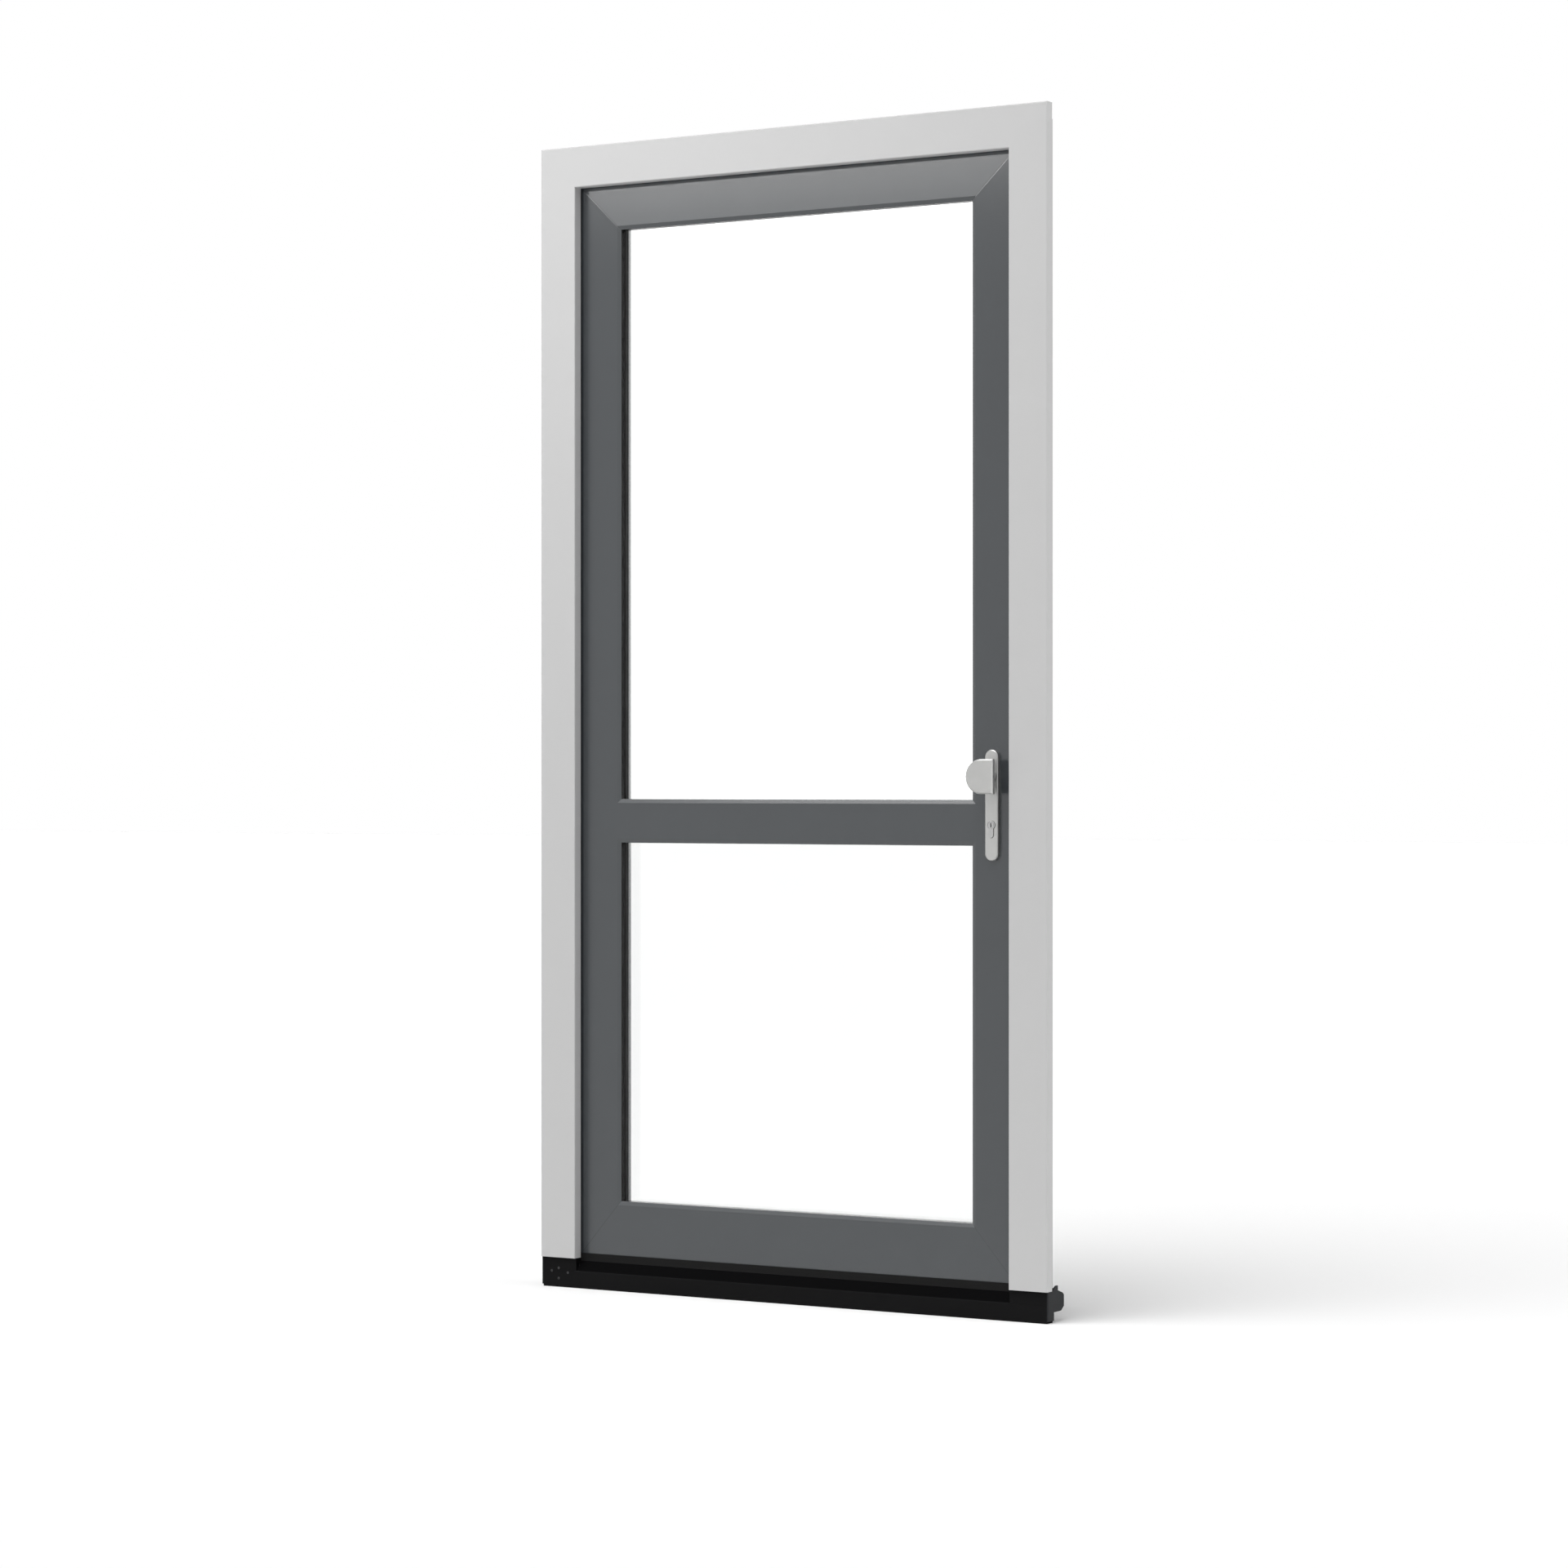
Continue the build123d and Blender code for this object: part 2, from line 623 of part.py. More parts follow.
def leaf_lock_stile():
    """The lock stile, cut for the bolts and the cylinder."""
    stile = leaf_member("right") - cylinder_bar(CYLINDER_CLEARANCE, LEAF_FRONT, LEAF_BACK)
    for low, high in bolt_heights():
        stile = stile - bolt_slot(low, high, LEAF_HALF)
    return stile


def lip_seal():
    """The seal round the leaf's inner lip, which meets the frame's room face."""
    section = seal_section(LIP_FRONT, -INNER_LIP_REACH + LEAF_SEAL_INSET, -1)
    return closed_ring(section, LEAF_BOX, LEAF_WIDTHS, FRAME_DEPTH, LIP_FRONT + SEAL_FOOT_DEPTH)


# Glazing

def glass_pane(sight, front):
    """One sheet of glass, reaching behind the sight line by the glass cover."""
    left, right, bottom, top = grow(sight, GLASS_COVER)
    return block(left, right, front, front + PANE, bottom, top)


def glass_spacer(sight):
    """The spacer bar that keeps the two panes apart, just inside their edge."""
    box = grow(sight, GLASS_COVER - SPACER_INSET)
    section = [
        (0, OUTER_PANE_BACK),
        (SPACER_WIDTH, OUTER_PANE_BACK),
        (SPACER_WIDTH, INNER_PANE_FRONT),
        (0, INNER_PANE_FRONT),
    ]
    return closed_ring(section, box, equal_widths(GLASS_REBATE), OUTER_PANE_BACK, INNER_PANE_FRONT)


def gasket(sight, front, back):
    """A rubber gasket against the glass, just behind the edge of the profile or bead that holds it."""
    box = grow(sight, GASKET_WIDTH)
    section = [(0, front), (GASKET_WIDTH, front), (GASKET_WIDTH, back), (0, back)]
    return closed_ring(section, box, equal_widths(GLASS_REBATE), front, back)


def beads(sight):
    """The four glazing beads on the room side, mitred; they stand lower than the outer leg."""
    box = grow(sight, GLASS_REBATE)
    nose = GLASS_REBATE - BEAD_SET_BACK
    section = [
        (0, BEAD_FRONT),
        (nose, BEAD_FRONT),
        (nose, BEAD_FRONT + BEAD_NOSE, BEAD_ROUNDING),
        (BEAD_BACK, LEAF_BACK, BEAD_ROUNDING),
        (0, LEAF_BACK),
    ]
    return four_sides(section, box, equal_widths(GLASS_REBATE), BEAD_FRONT, LEAF_BACK)


def setting_blocks():
    """The blocks that carry each pair of panes, at a quarter of its width from each end."""
    depth = (OUTER_PANE_FRONT + INNER_PANE_BACK) / 2
    blocks = []
    for sight in (UPPER_SIGHT, LOWER_SIGHT):
        left, right, bottom, top = grow(sight, GLASS_REBATE)
        quarter = (right - left) / 4
        for x in (left + quarter, right - quarter):
            blocks.append(block(x - BLOCK_LENGTH / 2, x + BLOCK_LENGTH / 2, depth - BLOCK_WIDTH / 2,
                                depth + BLOCK_WIDTH / 2, bottom, bottom + GLASS_EDGE_GAP))
    return blocks


# Hinges

def knuckle(bottom, top):
    """One bored barrel on the hinge axis."""
    barrel = Plane.XY.offset(bottom) * Pos(HINGE_X, HINGE_DEPTH) * Circle(KNUCKLE_RADIUS)
    return extrude(barrel, amount=top - bottom) - bore_cut(bottom, top)


def bore_cut(bottom, top):
    """The hinge bore as a solid."""
    bore = Circle(HINGE_PIN_RADIUS + HINGE_PIN_CLEARANCE)
    return extrude(Plane.XY.offset(bottom) * Pos(HINGE_X, HINGE_DEPTH) * bore, amount=top - bottom)


def hinge_plate(left, right, middle, front, round_left):
    """A flat plate of the hinge's height; the corners away from the barrel are rounded."""
    bottom = middle - HINGE_HEIGHT / 2
    top = middle + HINGE_HEIGHT / 2
    left_round = HINGE_CORNER if round_left else 0
    right_round = 0 if round_left else HINGE_CORNER
    outline = [
        (left, bottom, left_round),
        (right, bottom, right_round),
        (right, top, right_round),
        (left, top, left_round),
    ]
    return through(outline, front, front + HINGE_PLATE)


def hinge_on_frame(middle):
    """The frame's half: a plate on the room face, with a barrel above and below the leaf's."""
    gap_half = LEAF_KNUCKLE / 2 + KNUCKLE_GAP
    plate_left = -BODY_HALF + HINGE_FRAME_MARGIN
    plate_back = FRAME_DEPTH + HINGE_PLATE
    half = hinge_plate(plate_left, HINGE_X, middle, FRAME_DEPTH, True)
    arm = [
        (HINGE_X - KNUCKLE_RADIUS, HINGE_DEPTH),
        (HINGE_X, HINGE_DEPTH),
        (HINGE_X, plate_back),
        (HINGE_X - KNUCKLE_RADIUS - HINGE_PLATE, plate_back),
    ]
    end_half = HINGE_HEIGHT / 2
    for low, high in ((middle - end_half, middle - gap_half), (middle + gap_half, middle + end_half)):
        half = half + (upright(arm, low, high) - bore_cut(low, high)) + knuckle(low, high)
    return half


def hinge_on_leaf(middle):
    """The leaf's half: a plate on the leaf's room face, with one barrel."""
    bottom = middle - LEAF_KNUCKLE / 2
    top = middle + LEAF_KNUCKLE / 2
    plate_left = -(LEAF_HALF + INNER_LIP_REACH) + HINGE_LEAF_CLEAR
    plate = hinge_plate(plate_left, plate_left + HINGE_LEAF_PLATE_WIDTH, middle, LEAF_BACK, False)
    arm = [
        (HINGE_X, HINGE_DEPTH + KNUCKLE_RADIUS),
        (HINGE_X, HINGE_DEPTH - KNUCKLE_RADIUS / 2),
        (plate_left, LEAF_BACK + HINGE_PLATE / 2),
        (plate_left + KNUCKLE_RADIUS, LEAF_BACK + HINGE_PLATE / 2),
        (plate_left + KNUCKLE_RADIUS, LEAF_BACK + HINGE_PLATE),
    ]
    return plate + (upright(arm, bottom, top) - bore_cut(bottom, top)) + knuckle(bottom, top)


def hinge_pin(middle):
    """The pin through the three barrels, with a thin head on top."""
    bottom = middle - HINGE_HEIGHT / 2
    top = middle + HINGE_HEIGHT / 2
    place = Pos(HINGE_X, HINGE_DEPTH)
    shank = extrude(Plane.XY.offset(bottom) * place * Circle(HINGE_PIN_RADIUS), amount=HINGE_HEIGHT)
    head = extrude(Plane.XY.offset(top) * place * Circle(KNUCKLE_RADIUS), amount=HINGE_PIN_HEAD)
    return shank + head


# Door furniture

def stadium_plate(front, back, rounded_face):
    """A narrow plate with round ends, its outer edge eased by a small chamfer."""
    outline = SlotOverall(PLATE_LENGTH, PLATE_WIDTH, rotation=90)
    sketch = Plane.XZ.offset(-front) * Pos(HANDLE_X, PLATE_MIDDLE) * outline
    plate = extrude(sketch, amount=-(back - front))
    edges = plate.edges().filter_by_position(Axis.Y, rounded_face - 0.01, rounded_face + 0.01)
    return chamfer(edges, PLATE_EDGE)


def outside_plate():
    """The outside plate, pierced for the cylinder."""
    front = LEAF_FRONT - PLATE_THICKNESS
    plate = stadium_plate(front, LEAF_FRONT, front)
    return plate - cylinder_bar(CYLINDER_CLEARANCE, front, LEAF_FRONT)


def inside_plate():
    """The plate on the room side, pierced for the cylinder."""
    back = LEAF_BACK + PLATE_THICKNESS
    plate = stadium_plate(LEAF_BACK, back, back)
    return plate - cylinder_bar(CYLINDER_CLEARANCE, LEAF_BACK, back)


def outside_knob():
    """The fixed D-shaped pull on its round neck."""
    front = LEAF_FRONT - KNOB_PROJECTION
    back = front + KNOB_THICKNESS
    neck_end = LEAF_FRONT - PLATE_THICKNESS
    disc = Circle(KNOB_RADIUS) & Pos(-KNOB_RADIUS, 0) * Rectangle(2 * KNOB_RADIUS, 2 * KNOB_RADIUS)
    square = Pos(KNOB_FLAT / 2, 0) * Rectangle(KNOB_FLAT, 2 * KNOB_RADIUS)
    sketch = Plane.XZ.offset(-front) * Pos(HANDLE_X, KNOB_HEIGHT) * (disc + square)
    grip = extrude(sketch, amount=-KNOB_THICKNESS)
    grip = chamfer(grip.faces().sort_by(Axis.Y)[0].edges(), KNOB_FRONT_CHAMFER)
    grip = chamfer(grip.faces().sort_by(Axis.Y)[-1].edges(), KNOB_BACK_CHAMFER)
    neck = rod_in(HANDLE_X, KNOB_HEIGHT, KNOB_NECK_RADIUS, back, neck_end)
    collar_front = neck_end - KNOB_COLLAR_THICKNESS
    return grip + neck + rod_in(HANDLE_X, KNOB_HEIGHT, KNOB_COLLAR_RADIUS, collar_front, neck_end)


def inside_lever():
    """The lever on the room side: one flat bar, bent over from its neck towards the hinges."""
    start = LEAF_BACK + PLATE_THICKNESS
    end = start + LEVER_PROJECTION
    half = LEVER_THICKNESS / 2
    tip = HANDLE_X - LEVER_LENGTH
    outline = [
        (HANDLE_X + half, start),
        (HANDLE_X + half, end, LEVER_OUTER_BEND),
        (tip, end, LEVER_TIP_ROUNDING),
        (tip, end - LEVER_THICKNESS, LEVER_TIP_ROUNDING),
        (HANDLE_X - half, end - LEVER_THICKNESS, LEVER_INNER_BEND),
        (HANDLE_X - half, start),
    ]
    bar = upright(outline, KNOB_HEIGHT - LEVER_WIDTH / 2, KNOB_HEIGHT + LEVER_WIDTH / 2)
    long_edges = bar.faces().sort_by(Axis.Z)[0].edges() + bar.faces().sort_by(Axis.Z)[-1].edges()
    bar = chamfer(long_edges, LEVER_CHAMFER)
    collar = rod_in(HANDLE_X, KNOB_HEIGHT, KNOB_COLLAR_RADIUS, start, start + KNOB_COLLAR_THICKNESS)
    return bar + collar


def lock_cylinder():
    """The keyed cylinder, right through the leaf and both plates."""
    front = LEAF_FRONT - PLATE_THICKNESS - CYLINDER_PROUD
    back = LEAF_BACK + PLATE_THICKNESS + CYLINDER_PROUD
    return cylinder_bar(0, front, back)


# Lock

def lock_faceplate():
    """The long steel strip in the lock stile's groove, pierced for the bolts."""
    half = HARDWARE_GROOVE_WIDTH / 2
    strip = block(LEAF_HALF - LOCK_STRIP_THICKNESS, LEAF_HALF, HARDWARE_GROOVE_MIDDLE - half,
                  HARDWARE_GROOVE_MIDDLE + half, LOCK_STRIP_BOTTOM, LOCK_STRIP_TOP)
    for low, high in bolt_heights():
        strip = strip - bolt_slot(low, high, LEAF_HALF)
    return strip


def latch_bolt():
    """The latch, drawn back so that only its sloped nose stands out of the strip."""
    low, high = bolt_heights()[2]
    front = HARDWARE_GROOVE_MIDDLE - BOLT_WIDTH / 2
    back = HARDWARE_GROOVE_MIDDLE + BOLT_WIDTH / 2
    left = LEAF_HALF - BOLT_REACH
    outline = [(left, front), (LEAF_HALF + LATCH_PROUD, front), (LEAF_HALF, back), (left, back)]
    return upright(outline, low, high)


def lock_bolts():
    """The dead bolt and the two hooks, drawn back almost level with the strip."""
    lower_hook, dead_bolt, latch, upper_hook = bolt_heights()
    reach = LEAF_HALF + BOLT_PROUD
    return [bolt_slot(low, high, reach) for low, high in (lower_hook, dead_bolt, upper_hook)]


def keep_mouths():
    """Bottom and top of each mouth in the keeps, with a margin round its bolt."""
    return [(low - KEEP_MARGIN, high + KEEP_MARGIN) for low, high in bolt_heights()]


def keep_mouth(low, high, right):
    """The space of one mouth, out to the given x behind the rebate floor."""
    half = BOLT_WIDTH / 2 + KEEP_MARGIN
    return block(REBATE_HALF - KEEP_THICKNESS, right, HARDWARE_GROOVE_MIDDLE - half,
                 HARDWARE_GROOVE_MIDDLE + half, low, high)


def strike_plates():
    """The keeps on the lock jamb's rebate floor; the middle one takes dead bolt and latch."""
    lower_hook, dead_bolt, latch, upper_hook = keep_mouths()
    half = KEEP_WIDTH / 2
    plates = []
    for mouths in ([lower_hook], [dead_bolt, latch], [upper_hook]):
        plate = block(REBATE_HALF - KEEP_THICKNESS, REBATE_HALF, HARDWARE_GROOVE_MIDDLE - half,
                      HARDWARE_GROOVE_MIDDLE + half, mouths[0][0] - KEEP_END, mouths[-1][1] + KEEP_END)
        for low, high in mouths:
            plate = plate - keep_mouth(low, high, REBATE_HALF)
        plates.append(plate)
    return plates


def solids_of(shape):
    """Every solid in a shape or in a list of shapes."""
    if isinstance(shape, (list, tuple)):
        return [solid for item in shape for solid in solids_of(item)]
    return list(shape.solids())


def write(name, shape):
    """One file for one piece, with the origin under the middle of the threshold's foot."""
    moved = [solid.moved(Location((0, -ORIGIN_DEPTH, 0))) for solid in solids_of(shape)]
    result = moved[0] if len(moved) == 1 else Compound(children=moved)
    export_step(result, os.path.join("parts", name + ".step"))


def write_frame():
    """The outer frame with its seal and keeps."""
    write("frame_head", frame_side("top"))
    write("frame_jamb_left", jamb("left"))
    write("frame_jamb_right", jamb("right"))
    write("frame_seal", frame_seal())
    write("strike_plates", strike_plates())


def write_threshold():
    """The threshold with its blocks, end caps and seal."""
    write("threshold_sill", threshold_sill())
    write("threshold_seal", threshold_seal())
    for side, sign in (("left", -1), ("right", 1)):
        write("threshold_block_" + side, threshold_block(sign))
        write("threshold_end_cap_" + side, threshold_end_cap(sign))


def write_leaf():
    """The five profiles of the leaf and its seal."""
    write("leaf_hinge_stile", leaf_member("left"))
    write("leaf_lock_stile", leaf_lock_stile())
    write("leaf_top_rail", leaf_member("top"))
    write("leaf_bottom_rail", leaf_member("bottom"))
    write("leaf_mid_rail", leaf_mid_rail())
    write("leaf_seal", lip_seal())


def write_glazing():
    """The two double panes with their spacers, gaskets, beads and blocks."""
    sights = (UPPER_SIGHT, LOWER_SIGHT)
    for name, sight in zip(("upper", "lower"), sights):
        write(name + "_outer_pane", glass_pane(sight, OUTER_PANE_FRONT))
        write(name + "_inner_pane", glass_pane(sight, INNER_PANE_FRONT))
        sides = beads(sight)
        write(name + "_beads_upright", [sides["left"], sides["right"]])
        write(name + "_beads_level", [sides["bottom"], sides["top"]])
    write("glass_spacers", [glass_spacer(sight) for sight in sights])
    write("outer_gaskets", [gasket(sight, GLASS_LEG_BACK, OUTER_PANE_FRONT) for sight in sights])
    bead_noses = [grow(sight, BEAD_SET_BACK) for sight in sights]
    write("inner_gaskets", [gasket(nose, INNER_PANE_BACK, BEAD_FRONT) for nose in bead_noses])
    write("setting_blocks", setting_blocks())


def write_hinges():
    """The three hinges on the room side."""
    for name, middle in HINGE_MIDDLES.items():
        write("hinge_on_frame_" + name, hinge_on_frame(middle))
        write("hinge_on_leaf_" + name, hinge_on_leaf(middle))
    write("hinge_pins", [hinge_pin(middle) for middle in HINGE_MIDDLES.values()])


def write_furniture():
    """The furniture on both sides, and the lock in the leaf's edge."""
    write("outside_plate", outside_plate())
    write("outside_knob", outside_knob())
    write("lock_cylinder", lock_cylinder())
    write("inside_plate", inside_plate())
    write("inside_lever", inside_lever())
    write("lock_faceplate", lock_faceplate())
    write("latch_bolt", latch_bolt())
    write("lock_bolts", lock_bolts())


os.makedirs("parts", exist_ok=True)
write_frame()
write_threshold()
write_leaf()
write_glazing()
write_hinges()
write_furniture()
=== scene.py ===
import math
import bmesh
import bpy
import numpy as np
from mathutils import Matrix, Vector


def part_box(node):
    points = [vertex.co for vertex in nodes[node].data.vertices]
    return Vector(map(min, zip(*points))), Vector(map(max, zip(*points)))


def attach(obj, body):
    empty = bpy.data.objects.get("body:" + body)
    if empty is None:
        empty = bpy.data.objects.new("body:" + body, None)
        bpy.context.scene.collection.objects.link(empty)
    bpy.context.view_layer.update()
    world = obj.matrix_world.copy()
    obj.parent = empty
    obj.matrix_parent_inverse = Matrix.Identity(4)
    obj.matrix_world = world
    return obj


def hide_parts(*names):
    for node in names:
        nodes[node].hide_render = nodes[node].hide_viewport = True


# A glazed front door seen from outside, a little from the lock side.
# X runs along the door to the lock side, Y from the outside to the room, Z up, in metres.

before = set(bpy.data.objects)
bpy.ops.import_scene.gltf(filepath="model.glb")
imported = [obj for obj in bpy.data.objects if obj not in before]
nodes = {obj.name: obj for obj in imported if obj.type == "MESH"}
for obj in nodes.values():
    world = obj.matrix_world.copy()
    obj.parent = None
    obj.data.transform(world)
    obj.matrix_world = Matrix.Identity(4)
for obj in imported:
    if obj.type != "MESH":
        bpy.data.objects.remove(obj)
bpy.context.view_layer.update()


# Camera
# The door stands upright in the photograph, so the camera is level, a metre up, and eight metres
# away on the lock side. The image is square.

CAMERA_PLACE = (4.0754, -6.8152, 1.016)
CAMERA_TURN = math.radians(30.95)
IMAGE_WIDTH = 1920
FOCAL_PIXELS = 4972.0
SENSOR = 36.0

camera_data = bpy.data.cameras.new("camera")
camera_data.sensor_width = SENSOR
camera_data.sensor_height = SENSOR
camera_data.lens = FOCAL_PIXELS / IMAGE_WIDTH * SENSOR
camera = bpy.data.objects.new("camera", camera_data)
camera.location = CAMERA_PLACE
camera.rotation_euler = (math.radians(90), 0, CAMERA_TURN)
bpy.context.scene.collection.objects.link(camera)
bpy.context.scene.camera = camera
bpy.context.scene.view_settings.view_transform = "Standard"


# Studio floor
# A sheet of white studio floor that runs out of sight. To the camera it glows a little, so that it
# is pure white away from the door and still takes the door's soft shadow.

FLOOR_REACH = 60.0
FLOOR_GLOW = 0.085
FLOOR_PAINT = 0.85
FLOOR_ROUGHNESS = 0.9


def finish_of(name):
    """A new material with nodes; gives the material, its node tree and its Principled shader."""
    material = bpy.data.materials.new(name)
    material.use_nodes = True
    tree = material.node_tree
    return material, tree, tree.nodes["Principled BSDF"]


def feed(tree, socket, value):
    """Links a socket's output into an input, or sets the input where a plain value is given."""
    if isinstance(value, bpy.types.NodeSocket):
        tree.links.new(value, socket)
    else:
        socket.default_value = value


def sums(tree, operation, *values, clamp=False):
    """The result of one Math node on sockets or plain numbers."""
    node = tree.nodes.new("ShaderNodeMath")
    node.operation = operation
    node.use_clamp = clamp
    for socket, value in zip(node.inputs, values):
        feed(tree, socket, value)
    return node.outputs[0]


def seen_directly(tree):
    """1 for rays from the camera, and for those mirrored or bent by metal and glass."""
    path = tree.nodes.new("ShaderNodeLightPath")
    either = sums(tree, "MAXIMUM", path.outputs["Is Camera Ray"], path.outputs["Is Glossy Ray"])
    return sums(tree, "MAXIMUM", either, path.outputs["Is Transmission Ray"])


def floor_mesh(reach):
    """A square of two by two points at height zero, reaching as far on every side."""
    across = np.array([-reach, reach])
    x, y = np.meshgrid(across, across, indexing="ij")
    points = np.stack([x, y, np.zeros_like(x)], axis=-1).reshape(-1, 3)
    mesh = bpy.data.meshes.new("studio_floor")
    mesh.from_pydata(points.tolist(), [], [(0, 2, 3, 1)])
    return mesh


floor_paint, tree, shader = finish_of("studio_floor")
shader.inputs["Base Color"].default_value = (FLOOR_PAINT, FLOOR_PAINT, FLOOR_PAINT, 1)
shader.inputs["Roughness"].default_value = FLOOR_ROUGHNESS
shader.inputs["Specular IOR Level"].default_value = 0.0
glow = tree.nodes.new("ShaderNodeEmission")
feed(tree, glow.inputs["Strength"], sums(tree, "MULTIPLY", seen_directly(tree), FLOOR_GLOW))
together = tree.nodes.new("ShaderNodeAddShader")
feed(tree, together.inputs[0], shader.outputs[0])
feed(tree, together.inputs[1], glow.outputs[0])
feed(tree, tree.nodes["Material Output"].inputs["Surface"], together.outputs[0])

studio_floor = bpy.data.objects.new("studio_floor", floor_mesh(FLOOR_REACH))
studio_floor.data.materials.append(floor_paint)
bpy.context.scene.collection.objects.link(studio_floor)


# Studio light
# White walls all round give a seventh of the light. A very large lamp far off before the door throws
# the soft shadow back, a second one fills in from the lock side and a weak third one from behind,
# and a narrow strip hangs before the door's top.

WALL_LIGHT = 0.14
FRONT_LAMP = {"azimuth": 20.0, "elevation": 61.0, "spread": 54.0, "strength": 2.60}
SIDE_LAMP = {"azimuth": -98.0, "elevation": 24.0, "spread": 60.0, "strength": 1.30}
BACK_LAMP = {"azimuth": 160.0, "elevation": 22.0, "spread": 60.0, "strength": 0.50}
STRIP = {"place": (-0.86, -1.43, 2.60), "aim": (-0.86, 0.0, 2.15), "size": (1.45, 0.11), "watts": 8.0}


def lamp_at(name, data, place, aim):
    """A lamp at a place, turned to face the point that it is aimed at."""
    lamp = bpy.data.objects.new(name, data)
    lamp.location = place
    run = np.array(aim) - np.array(place)
    level = math.hypot(run[0], run[1])
    lamp.rotation_euler = (math.atan2(level, -run[2]), 0, math.atan2(-run[0], run[1]))
    bpy.context.scene.collection.objects.link(lamp)


def far_lamp(name, azimuth, elevation, spread, strength):
    """A lamp so far off that it lights the whole door alike; azimuth turns it from the front to the left."""
    data = bpy.data.lights.new(name, "SUN")
    data.angle = math.radians(spread)
    data.energy = strength
    across = math.cos(math.radians(elevation))
    turn = math.radians(azimuth)
    place = (-across * math.sin(turn), -across * math.cos(turn), math.sin(math.radians(elevation)))
    lamp_at(name, data, place, (0, 0, 0))


def strip_lamp(place, aim, size, watts):
    """A long narrow lamp that lies level, along the door."""
    data = bpy.data.lights.new("strip_lamp", "AREA")
    data.shape = "RECTANGLE"
    data.size, data.size_y = size
    data.energy = watts
    lamp_at("strip_lamp", data, place, aim)


far_lamp("front_lamp", **FRONT_LAMP)
far_lamp("side_lamp", **SIDE_LAMP)
far_lamp("back_lamp", **BACK_LAMP)
strip_lamp(**STRIP)

walls = bpy.data.worlds.new("white_walls")
walls.use_nodes = True
bpy.context.scene.world = walls
tree = walls.node_tree
wall_paint = tree.nodes["Background"]
wall_paint.inputs["Color"].default_value = (1, 1, 1, 1)
more = sums(tree, "MULTIPLY", seen_directly(tree), 1 - WALL_LIGHT)
feed(tree, wall_paint.inputs["Strength"], sums(tree, "ADD", more, WALL_LIGHT))


# Outer frame
# White upvc head and jambs, sawn at 45 degrees at the top corners and welded there. The skin is
# smooth from the die, with faint lines along the bar and a cleaned weld across each corner.

FRAME_WHITE = (0.540, 0.540, 0.540)
FRAME_CORNER = (0.575, 2.300)
FRAME_MITRE = (-1.0, -1.0)
FRAME_WELD_HALF_WIDTH = 0.0009
FRAME_ROUGHNESS = (0.44, 0.54)
FRAME_RELIEF = 0.00006
DIE_LINE_SHARE = 0.12


def group_of(name, inputs, outputs):
    """An empty shader group with the named sockets; gives its tree, input node and output node."""
    tree = bpy.data.node_groups.new(name, "ShaderNodeTree")
    for label, kind, value in inputs:
        socket = tree.interface.new_socket(name=label, in_out="INPUT", socket_type="NodeSocket" + kind)
        socket.default_value = value
    for label, kind in outputs:
        tree.interface.new_socket(name=label, in_out="OUTPUT", socket_type="NodeSocket" + kind)
    return tree, tree.nodes.new("NodeGroupInput"), tree.nodes.new("NodeGroupOutput")


def drawn_grain():
    """Streaks or grains: noise on object coordinates, each axis stretched by its own amount."""
    tree, given, result = group_of(
        "drawn_grain",
        [("Stretch", "Vector", (100.0, 100.0, 100.0)), ("Detail", "Float", 2.0)],
        [("Mask", "Float")],
    )
    place = tree.nodes.new("ShaderNodeTexCoord")
    scaled = tree.nodes.new("ShaderNodeVectorMath")
    scaled.operation = "MULTIPLY"
    feed(tree, scaled.inputs[0], place.outputs["Object"])
    feed(tree, scaled.inputs[1], given.outputs["Stretch"])
    noise = tree.nodes.new("ShaderNodeTexNoise")
    noise.inputs["Scale"].default_value = 1.0
    feed(tree, noise.inputs["Vector"], scaled.outputs[0])
    feed(tree, noise.inputs["Detail"], given.outputs["Detail"])
    feed(tree, result.inputs["Mask"], noise.outputs["Fac"])
    return tree


def weld_line():
    """1 on the mitre that runs inward from a corner, the same left and right, fading to 0 at its sides.

    The distance from the mitre is the cross product of the way from the corner and the mitre's
    direction, over the direction's length.
    """
    tree, given, result = group_of(
        "weld_line",
        [("Corner X", "Float", 0.5), ("Corner Z", "Float", 2.0), ("Run X", "Float", -1.0),
         ("Run Z", "Float", -1.0), ("Half Width", "Float", 0.001)],
        [("Mask", "Float")],
    )
    place = tree.nodes.new("ShaderNodeTexCoord")
    axes = tree.nodes.new("ShaderNodeSeparateXYZ")
    feed(tree, axes.inputs[0], place.outputs["Object"])
    away_x = sums(tree, "SUBTRACT", sums(tree, "ABSOLUTE", axes.outputs["X"]), given.outputs["Corner X"])
    away_z = sums(tree, "SUBTRACT", axes.outputs["Z"], given.outputs["Corner Z"])
    cross = sums(
        tree, "SUBTRACT",
        sums(tree, "MULTIPLY", away_x, given.outputs["Run Z"]),
        sums(tree, "MULTIPLY", away_z, given.outputs["Run X"]),
    )
    length = sums(
        tree, "SQRT",
        sums(
            tree, "ADD",
            sums(tree, "MULTIPLY", given.outputs["Run X"], given.outputs["Run X"]),
            sums(tree, "MULTIPLY", given.outputs["Run Z"], given.outputs["Run Z"]),
        ),
    )
    distance = sums(tree, "DIVIDE", sums(tree, "ABSOLUTE", cross), length)
    share = sums(tree, "DIVIDE", distance, given.outputs["Half Width"])
    feed(tree, result.inputs["Mask"], sums(tree, "SUBTRACT", 1.0, share, clamp=True))
    return tree


GRAIN = drawn_grain()
WELD = weld_line()


